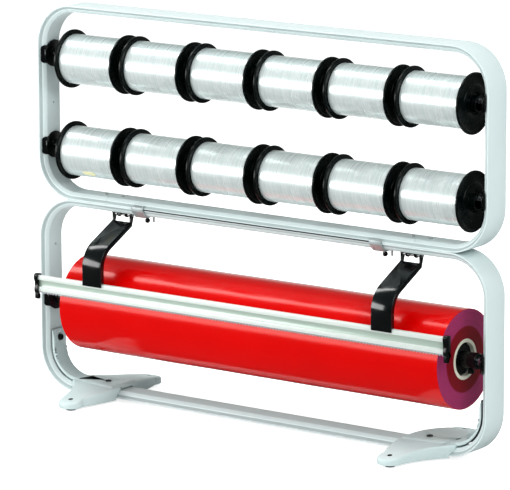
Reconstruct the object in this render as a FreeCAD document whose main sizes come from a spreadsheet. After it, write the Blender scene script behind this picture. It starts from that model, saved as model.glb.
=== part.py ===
# Ribbon spool dispenser with a paper roll and a hinged cutter bar, for a shop counter.
#
# Frame of the model: millimetres, +X to the user's right, -Y to the front, +Z up.
# The origin lies on the counter under the middle of the dispenser.

import FreeCAD, Part
import math
import os
import re

import Sketcher
from FreeCAD import Placement, Rotation, Vector

doc = FreeCAD.newDocument("ribbon_dispenser")

# ---------------------------------------------------------------- driving dimensions

SIZES = {
    # the bent profile and its two hoops
    "FrameWidth": 890,
    "FrameHeight": 325,
    "FrameLift": 8,
    "BendRadius": 70,
    "ProfileDepth": 12,
    "ProfileOuter": 52,
    "ProfileInner": 33,
    "ProfileLip": 2,
    "ProfileWall": 2,
    "GrooveDepth": 0.8,
    "GrooveWidth": 1.6,
    "UpperSeamBack": 69,
    "LowerSeamBack": 23,
    "SeamGap": 0.3,
    "SpareHoleRadius": 1.75,
    "SpareHoleDrop": 84,
    "UpperSpareDrop": 168.75,
    # joiners inside the seams
    "UpperJoiner": 56,
    "LowerJoiner": 36,
    "JoinerPlay": 0.25,
    "JoinerScrewStep": 17,
    # M4 pan head screws
    "ScrewRadius": 2,
    "ScrewHead": 3.6,
    "ScrewHeadHeight": 1.8,
    "ScrewPlay": 0.1,
    "JoinerScrewLength": 8,
    "HolderScrewLength": 9,
    "BracketScrewLength": 8,
    # cast feet
    "FootTipBack": 56,
    "FootTipY": 105,
    "FootLobe": 20.5,
    "LobeInnerAngle": 203,
    "FootInnerBack": 91,
    "FootOuterAhead": 9,
    "FootNeck": 20,
    "FootWaistRadius": 142,
    "CrownCover": 6.5,
    "CrownRadius": 653,
    "FootEdge": 2,
    "ChannelPlay": 0.3,
    "RibInner": 37,
    "RibOuter": 24,
    "RibRoot": 2.5,
    "RibSlope": 55,
    "RibInset": 3,
    "ReliefLength": 26,
    "ReliefHeight": 2.2,
    "TipHole": 3.75,
    "SpineWidth": 32,
    "SpineThick": 5.4,
    "SpineGap": 2.6,
    "SpineRise": 26,
    "SpineTaper": 13,
    "SpineTipThick": 1.5,
    "SpineStartBack": 30,
    "SpineEdge": 2,
    "SeatRadius": 9,
    # M6 socket screws of the feet
    "BoltRadius": 3,
    "BoltPlay": 0.1,
    "BoltHead": 5,
    "BoltHeadHeight": 6,
    "BoltSocket": 5,
    "BoltSocketDepth": 3,
    "BoltLength": 12,
    "CounterboreRadius": 6.2,
    "CounterboreDepth": 3,
    "FloorBoltBack": 52,
    "SpineBoltRise": 12,
    # rubber rings under the foot tips
    "PadHeight": 5,
    "PadRadius": 8,
    "PadHole": 4,
    # rod holders
    "UpperRowDrop": 86,
    "LowerRowRise": 85.5,
    "PaperDrop": 172.4,
    "HolderHeight": 30,
    "HolderThick": 3,
    "HolderPlay": 0.2,
    "HolderCorner": 5,
    "ClawReach": 5.5,
    "DiscRadius": 22.5,
    "DiscThick": 3.5,
    "RibbonBoss": 9,
    "PaperBoss": 11.5,
    "BossLength": 7.5,
    "SocketFloor": 2.5,
    # rods
    "RibbonRod": 5,
    "PaperRod": 7,
    "RibbonRodPlay": 0.1,
    "PaperRodPlay": 0.08,
    "RodEndPlay": 0.3,
    # ribbon spools
    "RowSlack": 53,
    "SpoolShift": 5.9,
    "FlangeSpacing": 17.5,
    "FlangeRadius": 48.6,
    "FlangeThick": 4,
    "SpoolBore": 11.3,
    "SpoolPlay": 0.3,
    "HubTube": 13.3,
    "HubGap": 0.6,
    "Barrel": 18,
    "RibbonRadius": 41.5,
    "RibbonPlay": 0.3,
    # paper roll
    "RollGapLeft": 72,
    "RollGapRight": 44,
    "RollRadius": 80,
    "CoreOuter": 32.6,
    "CoreWall": 5.6,
    "CorePlay": 0.1,
    "PlugPlay": 0.3,
    "PlugLength": 25,
    "PlugDepth": 8,
    "CollarRadius": 13,
    "CollarReach": 26,
    "HubPlay": 0.1,
    "ThumbRadius": 2.5,
    "ThumbReach": 11,
    "ThumbHead": 5,
    "ThumbHeadLength": 7,
    "ThumbHeadGap": 1,
    "ThumbTipGap": 0.3,
    # cutter arms
    "ArmInset": 118,
    "ArmWidth": 38.5,
    "ArmWall": 3,
    "ArmDepth": 9,
    "ArmSlope": 26.7,
    "ArmBend": 45,
    "ArmBendDrop": 79.5,
    "WebThick": 3,
    "LipThick": 2.5,
    "LipPlay": 0.3,
    "LipLap": 5.2,
    "EarRadius": 4.8,
    # hinge
    "PinDrop": 5.5,
    "PinRadius": 2.5,
    "PinPlay": 0.1,
    "PinOverhang": 1.5,
    "BracketWidth": 29,
    "BracketDepth": 24,
    "BracketThick": 2.5,
    "LugStep": 8,
    "LugThick": 4,
    "LugRadius": 4.5,
    "BracketScrewY": 8,
    # cutter bar
    "BarEndGap": 27,
    "BarDrop": 103,
    "BarHeight": 27.5,
    "BarRollGap": 0.4,
    "TopBeadHeight": 8,
    "TopBeadDepth": 6.6,
    "LowBeadHeight": 8,
    "LowBeadDepth": 5.4,
    "BandDepth": 3.4,
    "BandRadius": 20,
    "BeadRadius": 1.5,
    "ArmScrewLength": 10,
    "ArmScrewRadius": 1.5,
    "ArmScrewHead": 2.8,
    # tear blade
    "BladeShort": 2,
    "BladeThick": 0.8,
    "BladeInset": 2.9,
    "BladeSeat": 5,
    "BladeReach": 3.5,
    "BladePlay": 0.1,
    "ToothPitch": 6,
    "ToothDepth": 2.2,
    # end caps
    "CapLap": 3,
    "CapThick": 5,
    "CapWall": 2.4,
    "CapPlay": 0.3,
    "CapWaist": 14,
    "CapCorner": 3,
    "CapTab": 13,
    "CapTabWidth": 6,
    "CapTabCorner": 2,
    # clamps between the frames
    "ClampStep": 51,
    "ClampWidth": 23,
    "ClampThick": 3,
    "ClampPlay": 0.2,
    "ClampLip": 4,
    "ClampPinStep": 13,
    "ClampPinRadius": 1.6,
    "ClampPinLength": 9,
    "ClampEar": 5,
    "ClampEarDepth": 12,
    "KnobBall": 4.3,
    "KnobDrop": 10.5,
    "KnobScrew": 2,
    "KnobScrewPlay": 0.1,
}

SPOOLS_PER_ROW = 6

sheet = doc.addObject("Spreadsheet::Sheet", "Sizes")
for row, (alias, size) in enumerate(SIZES.items(), start=1):
    sheet.set(f"A{row}", alias)
    sheet.set(f"B{row}", str(size))
    sheet.setAlias(f"B{row}", alias)
doc.recompute()


def bind(text):
    """An expression in which each capitalised word is a cell of the sheet."""
    return re.sub(r"\b([A-Z][A-Za-z]+)\b", r"Sizes.\1", text)


def value(text):
    """The number that an expression over the sheet gives."""
    return float(sheet.evalExpression(bind(text)))


# places that several pieces share, worked out from the sheet
INNER_FACE = "(FrameWidth / 2 - ProfileDepth)"
JOINT_LEVEL = "(FrameLift + FrameHeight)"
UNDERSIDE = f"({JOINT_LEVEL} - ProfileDepth)"
FLANK_SLOPE = "((ProfileOuter - ProfileInner) / 2 / (ProfileDepth - ProfileLip))"
FLANK_STRETCH = f"sqrt(1 + {FLANK_SLOPE} ^ 2)"
BEND_X = "(FrameWidth / 2 - BendRadius)"
BEND_TOP = "(FrameLift + BendRadius)"
UPPER_SEAM = f"(2 * ({BEND_X} - UpperSeamBack))"
LOWER_SEAM = f"(2 * ({BEND_X} - LowerSeamBack))"
UPPER_ROW = f"({JOINT_LEVEL} + FrameHeight - UpperRowDrop)"
LOWER_ROW = f"({JOINT_LEVEL} + LowerRowRise)"
PAPER_AXIS = f"({JOINT_LEVEL} - PaperDrop)"
SPOOL_HANG = "(SpoolBore - RibbonRod - SpoolPlay)"
FOOT_TIP_X = f"({BEND_X} - FootTipBack)"
FOOT_INNER_X = f"({BEND_X} - FootInnerBack)"
FOOT_OUTER_X = f"({BEND_X} + FootOuterAhead)"
CROWN_TOP = "(FrameLift + ProfileDepth + CrownCover)"
SPINE_START = f"({BEND_X} - SpineStartBack)"
FLOOR_BOLT_X = f"({BEND_X} - FloorBoltBack)"
SPINE_BOLT_Z = f"({BEND_TOP} + SpineBoltRise)"
SPINE_TOP = f"({BEND_TOP} + SpineRise)"
SPINE_BACK = f"({INNER_FACE} - SpineGap)"
SPINE_FACE = f"({SPINE_BACK} - SpineThick)"
SPINE_ROOT = "(FrameLift + ProfileDepth + SpineGap + SpineThick)"
SPOOL_PITCH = f"((2 * {INNER_FACE} - RowSlack) / {SPOOLS_PER_ROW})"
SPOOL_WIDTH = f"({SPOOL_PITCH} - FlangeSpacing)"
ROLL_LENGTH = f"(2 * {INNER_FACE} - RollGapLeft - RollGapRight)"
ROLL_SHIFT = "((RollGapLeft - RollGapRight) / 2)"
BAR_HALF = f"({INNER_FACE} - BarEndGap)"
BLADE_HALF = f"({BAR_HALF} - BladeShort)"
ARM_X = f"({BAR_HALF} - ArmInset)"
CLAMP_X = f"({ARM_X} - ClampStep)"
KNOB_Z = f"({UNDERSIDE} - KnobDrop)"
PIN_Z = f"({UNDERSIDE} - PinDrop)"
BAR_TOP = f"({PIN_Z} - BarDrop)"
BAR_BOTTOM = f"({BAR_TOP} - BarHeight)"
BAR_BACK = f"sqrt((RollRadius + BarRollGap) ^ 2 - ({BAR_BOTTOM} - {PAPER_AXIS}) ^ 2)"
BAR_MIDDLE = f"({BAR_BACK} + TopBeadDepth / 2)"
ARM_FRONT = f"({BAR_BACK} + TopBeadDepth + LipPlay + LipThick)"
ARM_BEND_Y = f"({ARM_FRONT} - ArmBend)"
ARM_BEND_Z = f"({PIN_Z} - ArmBendDrop)"
ARM_RUN = f"(({ARM_BEND_Y} + ArmBend * sin(ArmSlope) - EarRadius) / cos(ArmSlope))"
LIP_BOTTOM = f"({BAR_TOP} - LipLap)"


def flank(height, grow="0"):
    """Half width of the profile at a height above its outer face, with the flank moved out by grow."""
    return f"(ProfileOuter / 2 - {FLANK_SLOPE} * (({height}) - ProfileLip) + ({grow}) * {FLANK_STRETCH})"


# ---------------------------------------------------------------- modelling helpers

nodes = []


def new_body(name):
    body = doc.addObject("PartDesign::Body", name)
    body.Label = name
    return body


def keep(thing):
    """Mark an object as one of the dispenser's sub-parts."""
    nodes.append(thing)
    return thing


def place(thing, x="0", y="0", z="0", turn=None):
    """Give an object its place: an optional (axis, angle) turn and expressions for its base."""
    if turn:
        thing.Placement = Placement(Vector(), Rotation(Vector(*turn[0]), turn[1]))
    for axis, text in (("x", x), ("y", y), ("z", z)):
        if text != "0":
            thing.setExpression(f"Placement.Base.{axis}", bind(text))
    return thing


def group(name, members):
    """Identical pieces that share one node as separate solids."""
    compound = doc.addObject("Part::Compound", name)
    compound.Label = name
    compound.Links = members
    return keep(compound)


def new_sketch(body, role, lift="0"):
    """A sketch on one of the body's origin planes, moved along that plane's normal."""
    plane = next(f for f in body.Origin.OriginFeatures if f.Role == role)
    sketch = body.newObject("Sketcher::SketchObject", "Sketch")
    sketch.AttachmentSupport = [(plane, "")]
    sketch.MapMode = "FlatFace"
    if lift != "0":
        sketch.setExpression("AttachmentOffset.Base.z", bind(lift))
    return sketch


def fix(sketch, kind, *target, text):
    """A dimension from the sketch's origin, or a radius, bound to an expression."""
    index = sketch.addConstraint(Sketcher.Constraint(kind, *target, value(text)))
    sketch.setExpression(f"Constraints[{index}]", bind(text))


def add_circle(sketch, x, y, radius):
    centre = Vector(value(x), value(y), 0)
    index = sketch.addGeometry(Part.Circle(centre, Vector(0, 0, 1), value(radius)), False)
    fix(sketch, "DistanceX", -1, 1, index, 3, text=x)
    fix(sketch, "DistanceY", -1, 1, index, 3, text=y)
    fix(sketch, "Radius", index, text=radius)


def arc_between(start, end, radius, turn):
    """The shorter arc from start to end that turns left or right as it is travelled."""
    chord = end - start
    side = Vector(-chord.y, chord.x, 0).normalize()
    reach = math.sqrt(radius ** 2 - (chord.Length / 2) ** 2)
    centre = (start + end) / 2 + side * (reach if turn == "left" else -reach)
    first, last = (start, end) if turn == "left" else (end, start)
    angles = [math.atan2(p.y - centre.y, p.x - centre.x) for p in (first, last)]
    return Part.ArcOfCircle(Part.Circle(centre, Vector(0, 0, 1), radius), *angles)


def add_outline(sketch, points, closed=True):
    """Edges through the points. A point is (x, y), and the edge that leaves it is straight,
    or (x, y, turn, radius), and that edge is an arc that turns left or right."""
    spots = [Vector(value(p[0]), value(p[1]), 0) for p in points]
    count = len(points) if closed else len(points) - 1
    ends = []
    for i in range(count):
        start, end = spots[i], spots[(i + 1) % len(spots)]
        if len(points[i]) == 2:
            index = sketch.addGeometry(Part.LineSegment(start, end), False)
            ends.append((index, 1, 2))
        else:
            turn, radius = points[i][2:]
            index = sketch.addGeometry(arc_between(start, end, value(radius), turn), False)
            ends.append((index, 1, 2) if turn == "left" else (index, 2, 1))
    for i in range(count):
        index, first, last = ends[i]
        if closed or i < count - 1:
            following = ends[(i + 1) % count]
            sketch.addConstraint(Sketcher.Constraint("Coincident", index, last, *following[:2]))
        fix(sketch, "DistanceX", -1, 1, index, first, text=points[i][0])
        fix(sketch, "DistanceY", -1, 1, index, first, text=points[i][1])
        if len(points[i]) > 2:
            fix(sketch, "Radius", index, text=points[i][3])
    if not closed:
        index, first, last = ends[-1]
        fix(sketch, "DistanceX", -1, 1, index, last, text=points[-1][0])
        fix(sketch, "DistanceY", -1, 1, index, last, text=points[-1][1])


def both_sides(half):
    """A closed outline from its right-hand half, listed upwards."""
    return half + [(f"-({x})", y) for x, y in reversed(half)]


def pad(body, sketch, length, middle=False, back=False):
    feature = body.newObject("PartDesign::Pad", "Pad")
    feature.Profile = sketch
    feature.setExpression("Length", bind(length))
    feature.SideType = "Symmetric" if middle else "One side"
    feature.Reversed = back
    return feature


def pocket(body, sketch, length="", middle=False, forward=False):
    """A cut from the sketch against its normal, or along it with forward; no length goes through all."""
    feature = body.newObject("PartDesign::Pocket", "Pocket")
    feature.Profile = sketch
    feature.SideType = "Symmetric" if middle else "One side"
    feature.Reversed = forward
    if length:
        feature.setExpression("Length", bind(length))
    else:
        feature.Type = "ThroughAll"
    return feature


def bore(body, role, lift, spots, radius, length="", middle=False, forward=False):
    """Round holes of one radius at the spots of a plane."""
    sketch = new_sketch(body, role, lift)
    for x, y in spots:
        add_circle(sketch, x, y, radius)
    return pocket(body, sketch, length, middle, forward)


def spin(body, outline, axis="V_Axis"):
    """A solid turned about the vertical or the horizontal axis of an XZ sketch."""
    sketch = new_sketch(body, "XZ_Plane")
    add_outline(sketch, outline)
    feature = body.newObject("PartDesign::Revolution", "Revolution")
    feature.Profile = sketch
    feature.ReferenceAxis = (sketch, [axis])
    feature.Angle = 360
    return feature


def bevel_edges(body, size, wanted):
    """A chamfer on the edges of the body's tip that the test picks."""
    doc.recompute()
    base = body.Tip
    names = [f"Edge{i}" for i, edge in enumerate(base.Shape.Edges, start=1) if wanted(edge)]
    feature = body.newObject("PartDesign::Chamfer", "Chamfer")
    feature.Base = (base, names)
    feature.setExpression("Size", bind(size))
    return feature


def tube_along_x(half_length, radius):
    """Outline of a plain rod about the X axis."""
    start = f"-({half_length})"
    return [(start, "0"), (half_length, "0"), (half_length, radius), (start, radius)]


# ---------------------------------------------------------------- frame hoops and bars

def profile_outline(base):
    """Outer skin of the bent profile, its wide face down at the base level, a groove in each flank."""
    middle = "(ProfileLip + ProfileDepth) / 2"
    before = f"{middle} - GrooveWidth / 2"
    after = f"{middle} + GrooveWidth / 2"
    return both_sides([
        ("ProfileOuter / 2", base),
        ("ProfileOuter / 2", f"{base} + ProfileLip"),
        (flank(before), f"{base} + {before}"),
        (f"{flank(middle)} - GrooveDepth", f"{base} + {middle}"),
        (flank(after), f"{base} + {after}"),
        ("ProfileInner / 2", f"{base} + ProfileDepth"),
    ])


def hollow_outline(base, play="0"):
    """Inside of the profile, or of a bar that slides into it with some play."""
    floor = f"(ProfileWall + {play})"
    ceiling = f"(ProfileDepth - ProfileWall - {play})"
    shrink = f"-(ProfileWall + {play})"
    return both_sides([
        (flank(floor, shrink), f"{base} + {floor}"),
        (flank(ceiling, shrink), f"{base} + {ceiling}"),
    ])


def grown_outline(base, play):
    """Outline of the profile with play all round, for the pieces that fit over it."""
    lip_z = f"(ProfileLip + {play} * ({FLANK_STRETCH} - 1) / {FLANK_SLOPE})"
    top_z = f"(ProfileDepth + {play})"
    return both_sides([
        (f"ProfileOuter / 2 + {play}", f"{base} - {play}"),
        (f"ProfileOuter / 2 + {play}", f"{base} + {lip_z}"),
        (flank(top_z, play), f"{base} + {top_z}"),
    ])


def frame_hoop(name, base, seam):
    """The profile bent into a hoop, open at the bottom between its two ends."""
    body = new_body(name)
    section = new_sketch(body, "YZ_Plane", f"-{seam} / 2")
    add_outline(section, profile_outline(base))
    add_outline(section, hollow_outline(base))
    top = f"{base} + FrameHeight"
    path = new_sketch(body, "XZ_Plane")
    add_outline(path, [
        (f"-{seam} / 2", base),
        (f"-{BEND_X}", base, "right", "BendRadius"),
        ("-FrameWidth / 2", f"{base} + BendRadius"),
        ("-FrameWidth / 2", f"{top} - BendRadius", "right", "BendRadius"),
        (f"-{BEND_X}", top),
        (BEND_X, top, "right", "BendRadius"),
        ("FrameWidth / 2", f"{top} - BendRadius"),
        ("FrameWidth / 2", f"{base} + BendRadius", "right", "BendRadius"),
        (BEND_X, base),
        (f"{seam} / 2", base),
    ], closed=False)
    pipe = body.newObject("PartDesign::AdditivePipe", "Pipe")
    pipe.Profile = section
    pipe.Spine = path
    return keep(body)


def frame_bar(name, base, seam):
    """The straight length of profile that closes a hoop, a little shorter than the opening."""
    body = new_body(name)
    section = new_sketch(body, "YZ_Plane")
    add_outline(section, profile_outline(base))
    add_outline(section, hollow_outline(base))
    pad(body, section, f"{seam} - 2 * SeamGap", middle=True)
    return keep(body)


def upright_holes(body, spots):
    """Holes through the inner wall of both uprights, from one cut that ends inside the hollow."""
    for level, radius in spots:
        bore(body, "YZ_Plane", "0", [("0", level)], radius,
             "FrameWidth - ProfileDepth", middle=True)


def floor_holes(body, base, spots, radius):
    """Holes down through the inner wall of a bottom run."""
    bore(body, "XY_Plane", f"{base} + ProfileDepth", spots, radius, "ProfileDepth / 2")


SCREW_HOLE = "ScrewRadius + ScrewPlay"
BOLT_HOLE = "BoltRadius + BoltPlay"

upper_hoop = frame_hoop("upper_frame_hoop", JOINT_LEVEL, UPPER_SEAM)
upright_holes(upper_hoop, [
    (UPPER_ROW, SCREW_HOLE),
    (LOWER_ROW, SCREW_HOLE),
    (f"{JOINT_LEVEL} + FrameHeight - UpperSpareDrop", "SpareHoleRadius"),
])
OUTER_JOINER_SCREW = f"{UPPER_SEAM} / 2 + JoinerScrewStep"
INNER_JOINER_SCREW = f"{UPPER_SEAM} / 2 - JoinerScrewStep"
floor_holes(upper_hoop, JOINT_LEVEL,
            [(f"-({OUTER_JOINER_SCREW})", "0"), (OUTER_JOINER_SCREW, "0")], SCREW_HOLE)

upper_bar = frame_bar("upper_frame_bar", JOINT_LEVEL, UPPER_SEAM)
floor_holes(upper_bar, JOINT_LEVEL,
            [(f"-({INNER_JOINER_SCREW})", "0"), (INNER_JOINER_SCREW, "0")], SCREW_HOLE)

lower_hoop = frame_hoop("lower_frame_hoop", "FrameLift", LOWER_SEAM)
upright_holes(lower_hoop, [
    (PAPER_AXIS, SCREW_HOLE),
    (f"{JOINT_LEVEL} - SpareHoleDrop", "SpareHoleRadius"),
    (SPINE_BOLT_Z, BOLT_HOLE),
])
bracket_screws = [(f"{side} * {ARM_X}", f"{face} * BracketScrewY") for side in (-1, 1) for face in (-1, 1)]
bore(lower_hoop, "XY_Plane", UNDERSIDE, bracket_screws, SCREW_HOLE, "ProfileDepth / 2", forward=True)

lower_bar = frame_bar("lower_frame_bar", "FrameLift", LOWER_SEAM)
floor_holes(lower_bar, "FrameLift", [(f"-{FLOOR_BOLT_X}", "0"), (FLOOR_BOLT_X, "0")], BOLT_HOLE)

# ---------------------------------------------------------------- joiners and M4 screws

joiners = []
for side, word in ((-1, "left"), (1, "right")):
    for row, base, seam, length in (
        ("upper", JOINT_LEVEL, UPPER_SEAM, "UpperJoiner"),
        ("lower", "FrameLift", LOWER_SEAM, "LowerJoiner"),
    ):
        joiner = new_body(f"joiner_{row}_{word}")
        section = new_sketch(joiner, "YZ_Plane")
        add_outline(section, hollow_outline("0", "JoinerPlay"))
        pad(joiner, section, length, middle=True)
        if row == "upper":
            bore(joiner, "XY_Plane", "ProfileDepth", [("-JoinerScrewStep", "0"), ("JoinerScrewStep", "0")],
                 SCREW_HOLE)
        joiners.append(place(joiner, x=f"{side} * {seam} / 2", z=base))
group("frame_joiners", joiners)

DOWN = ((1, 0, 0), 180)
TO_LEFT = ((0, 1, 0), -90)
TO_RIGHT = ((0, 1, 0), 90)


def pan_screw(name, length, radius="ScrewRadius", head="ScrewHead"):
    """A screw whose head stands on its origin plane, with the shank below."""
    body = new_body(name)
    spin(body, [
        ("0", f"-{length}"),
        (radius, f"-{length}"),
        (radius, "0"),
        (head, "0"),
        (head, "ScrewHeadHeight"),
        ("0", "ScrewHeadHeight"),
    ])
    return body


HOLDER_SCREW_X = f"({INNER_FACE} - SocketFloor)"
screws = []
for side in (-1, 1):
    for spot in (INNER_JOINER_SCREW, OUTER_JOINER_SCREW):
        screw = pan_screw("joiner_screw", "JoinerScrewLength")
        screws.append(place(screw, x=f"{side} * ({spot})", z=f"{JOINT_LEVEL} + ProfileDepth"))
    for level in (UPPER_ROW, LOWER_ROW, PAPER_AXIS):
        screw = pan_screw("holder_screw", "HolderScrewLength")
        turn = TO_LEFT if side > 0 else TO_RIGHT
        screws.append(place(screw, x=f"{side} * {HOLDER_SCREW_X}", z=level, turn=turn))
for x, y in bracket_screws:
    screw = pan_screw("bracket_screw", "BracketScrewLength")
    screws.append(place(screw, x=x, y=y, z=f"{UNDERSIDE} - BracketThick", turn=DOWN))
group("frame_screws", screws)

# ---------------------------------------------------------------- cast feet


def foot_plan():
    """Plan of the right foot: two lobes joined by a bowed inner edge and two waisted outer edges."""
    inner_x = f"{FOOT_TIP_X} + FootLobe * cos(LobeInnerAngle)"
    inner_y = "(FootTipY + FootLobe * sin(LobeInnerAngle))"
    # the waist arc meets the lobe where the two are tangent: from the lobe's centre to the neck's
    # corner is (dx, dy), and the way to the tangent point has the parts along and across it
    dx = f"({FOOT_OUTER_X} - {FOOT_TIP_X})"
    dy = "(FootNeck - FootTipY)"
    reach = f"({dx} ^ 2 + {dy} ^ 2)"
    along = f"(({reach} + FootLobe ^ 2 + 2 * FootWaistRadius * FootLobe) / 2 / (FootWaistRadius + FootLobe))"
    across = f"sqrt({reach} - {along} ^ 2)"
    outer_x = f"({FOOT_TIP_X} + FootLobe * ({dx} * {along} - {dy} * {across}) / {reach})"
    outer_y = f"(FootTipY + FootLobe * ({dy} * {along} + {dx} * {across}) / {reach})"
    bow = f"({inner_x} - {FOOT_INNER_X})"
    bow_radius = f"({inner_y} ^ 2 + {bow} ^ 2) / (2 * {bow})"
    far_y = "(FootTipY + FootLobe)"
    return [
        (FOOT_OUTER_X, "-FootNeck"),
        (FOOT_OUTER_X, "FootNeck", "right", "FootWaistRadius"),
        (outer_x, outer_y, "left", "FootLobe"),
        (FOOT_TIP_X, far_y, "left", "FootLobe"),
        (inner_x, inner_y, "left", bow_radius),
        (inner_x, f"-{inner_y}", "left", "FootLobe"),
        (FOOT_TIP_X, f"-{far_y}", "left", "FootLobe"),
        (outer_x, f"-{outer_y}", "right", "FootWaistRadius"),
    ]


def spine_section():
    """Section of the spine where it starts on the plate, with its two upper edges rounded."""
    under = "(FrameLift + ProfileDepth + SpineGap)"
    return [
        ("-SpineWidth / 2", under),
        ("SpineWidth / 2", under),
        ("SpineWidth / 2", f"{under} + SpineThick - SpineEdge", "left", "SpineEdge"),
        ("SpineWidth / 2 - SpineEdge", f"{under} + SpineThick"),
        ("-(SpineWidth / 2 - SpineEdge)", f"{under} + SpineThick", "left", "SpineEdge"),
        ("-SpineWidth / 2", f"{under} + SpineThick - SpineEdge"),
    ]


def foot(name):
    """The right foot: a crowned plate cut to its plan, a channel over the frame, and the spine."""
    body = new_body(name)
    plan = new_sketch(body, "XY_Plane", "PadHeight")
    add_outline(plan, foot_plan())
    pad(body, plan, CROWN_TOP)

    side_y = "(FootTipY + 2 * FootLobe)"
    side_z = f"{CROWN_TOP} - CrownRadius + sqrt(CrownRadius ^ 2 - {side_y} ^ 2)"
    crown = new_sketch(body, "YZ_Plane")
    add_outline(crown, [
        (f"-{side_y}", side_z, "right", "CrownRadius"),
        (side_y, side_z),
        (side_y, f"2 * {CROWN_TOP}"),
        (f"-{side_y}", f"2 * {CROWN_TOP}"),
    ])
    pocket(body, crown, middle=True)
    rim = value("PadHeight + FootEdge")
    bevel_edges(body, "FootEdge", lambda edge: all(v.Z > rim for v in edge.Vertexes))

    channel = new_sketch(body, "YZ_Plane", f"{FOOT_INNER_X} - FootLobe")
    add_outline(channel, grown_outline("FrameLift", "ChannelPlay"))
    path = new_sketch(body, "XZ_Plane")
    add_outline(path, [
        (f"{FOOT_INNER_X} - FootLobe", "FrameLift"),
        (BEND_X, "FrameLift", "left", "BendRadius"),
        ("FrameWidth / 2", "FrameLift + BendRadius"),
    ], closed=False)
    cut = body.newObject("PartDesign::SubtractivePipe", "Channel")
    cut.Profile = channel
    cut.Spine = path
    mouth = new_sketch(body, "YZ_Plane", f"{FOOT_INNER_X} - FootLobe")
    add_outline(mouth, both_sides([
        ("ProfileOuter / 2 + ChannelPlay", "0"),
        ("ProfileOuter / 2 + ChannelPlay", "FrameLift + ProfileLip"),
    ]))
    pocket(body, mouth, forward=True)

    relief = new_sketch(body, "YZ_Plane", f"{FOOT_INNER_X} - FootLobe")
    add_outline(relief, both_sides([
        ("ProfileInner / 2", "FrameLift + ProfileDepth"),
        ("ProfileInner / 2", "FrameLift + ProfileDepth + ReliefHeight"),
    ]))
    pocket(body, relief, "FootLobe + ReliefLength", forward=True)

    # the rib starts at the inner edge, narrows towards the spine and is as high as the spine's root
    rib = new_sketch(body, "XY_Plane", f"{CROWN_TOP} - RibRoot")
    add_outline(rib, [
        (f"{FOOT_INNER_X} + RibInset", "-RibInner"),
        (BEND_X, "-RibOuter"),
        (BEND_X, "RibOuter"),
        (f"{FOOT_INNER_X} + RibInset", "RibInner"),
    ])
    ridge = pad(body, rib, f"{SPINE_ROOT} - ({CROWN_TOP} - RibRoot)")
    ridge.setExpression("TaperAngle", bind("-RibSlope"))

    spine = new_sketch(body, "YZ_Plane", SPINE_START)
    add_outline(spine, spine_section())
    under = "(FrameLift + ProfileDepth + SpineGap)"
    climb = new_sketch(body, "XZ_Plane")
    add_outline(climb, [
        (SPINE_START, under),
        (BEND_X, under, "left", "BendRadius - ProfileDepth - SpineGap"),
        (SPINE_BACK, "FrameLift + BendRadius"),
        (SPINE_BACK, SPINE_TOP),
    ], closed=False)
    pipe = body.newObject("PartDesign::AdditivePipe", "Spine")
    pipe.Profile = spine
    pipe.Spine = climb
    taper = new_sketch(body, "XZ_Plane")
    add_outline(taper, [
        (f"{SPINE_BACK} - 2 * SpineThick", f"{SPINE_TOP} - SpineTaper"),
        (f"{SPINE_BACK} - SpineThick", f"{SPINE_TOP} - SpineTaper"),
        (f"{SPINE_BACK} - SpineTipThick", SPINE_TOP),
        (f"{SPINE_BACK} - SpineTipThick", f"{SPINE_TOP} + SpineTaper"),
        (f"{SPINE_BACK} - 2 * SpineThick", f"{SPINE_TOP} + SpineTaper"),
    ])
    pocket(body, taper, "2 * SpineWidth", middle=True)

    seat = new_sketch(body, "YZ_Plane", SPINE_BACK)
    add_circle(seat, "0", SPINE_BOLT_Z, "SeatRadius")
    pad(body, seat, "SpineGap")
    bore(body, "XY_Plane", f"{CROWN_TOP} - CounterboreDepth", [(FLOOR_BOLT_X, "0")], "CounterboreRadius",
         forward=True)
    bore(body, "XY_Plane", CROWN_TOP, [(FLOOR_BOLT_X, "0")], BOLT_HOLE)
    bore(body, "YZ_Plane", f"{SPINE_FACE} + CounterboreDepth", [("0", SPINE_BOLT_Z)],
         "CounterboreRadius")
    bore(body, "YZ_Plane", INNER_FACE, [("0", SPINE_BOLT_Z)], BOLT_HOLE)
    bore(body, "XY_Plane", CROWN_TOP, [(FOOT_TIP_X, "-FootTipY"), (FOOT_TIP_X, "FootTipY")], "TipHole")
    return keep(body)


HALF_TURN = ((0, 0, 1), 180)
foot("foot_right")
place(foot("foot_left"), turn=HALF_TURN)

pads = []
for side in (-1, 1):
    for face in (-1, 1):
        ring = new_body("foot_pad")
        spin(ring, [
            ("PadHole", "0"),
            ("PadRadius", "0"),
            ("PadRadius", "PadHeight"),
            ("PadHole", "PadHeight"),
        ])
        pads.append(place(ring, x=f"{side} * {FOOT_TIP_X}", y=f"{face} * FootTipY"))
group("foot_pads", pads)


def socket_bolt(name):
    """An M6 socket screw: round head on the origin plane, hexagon socket, shank below."""
    body = new_body(name)
    spin(body, [
        ("0", "-BoltLength"),
        ("BoltRadius", "-BoltLength"),
        ("BoltRadius", "0"),
        ("BoltHead", "0"),
        ("BoltHead", "BoltHeadHeight"),
        ("0", "BoltHeadHeight"),
    ])
    hexagon = new_sketch(body, "XY_Plane", "BoltHeadHeight")
    corner = "BoltSocket / sqrt(3)"
    add_outline(hexagon, [(f"{corner} * cos({60 * k})", f"{corner} * sin({60 * k})") for k in range(6)])
    pocket(body, hexagon, "BoltSocketDepth")
    return body


bolts = []
for side in (-1, 1):
    bolt = socket_bolt("floor_bolt")
    bolts.append(place(bolt, x=f"{side} * {FLOOR_BOLT_X}", z=f"{CROWN_TOP} - CounterboreDepth"))
    bolt = socket_bolt("spine_bolt")
    bolts.append(place(bolt, x=f"{side} * ({SPINE_FACE} + CounterboreDepth)", z=SPINE_BOLT_Z,
                       turn=TO_LEFT if side > 0 else TO_RIGHT))
group("foot_bolts", bolts)

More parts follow.
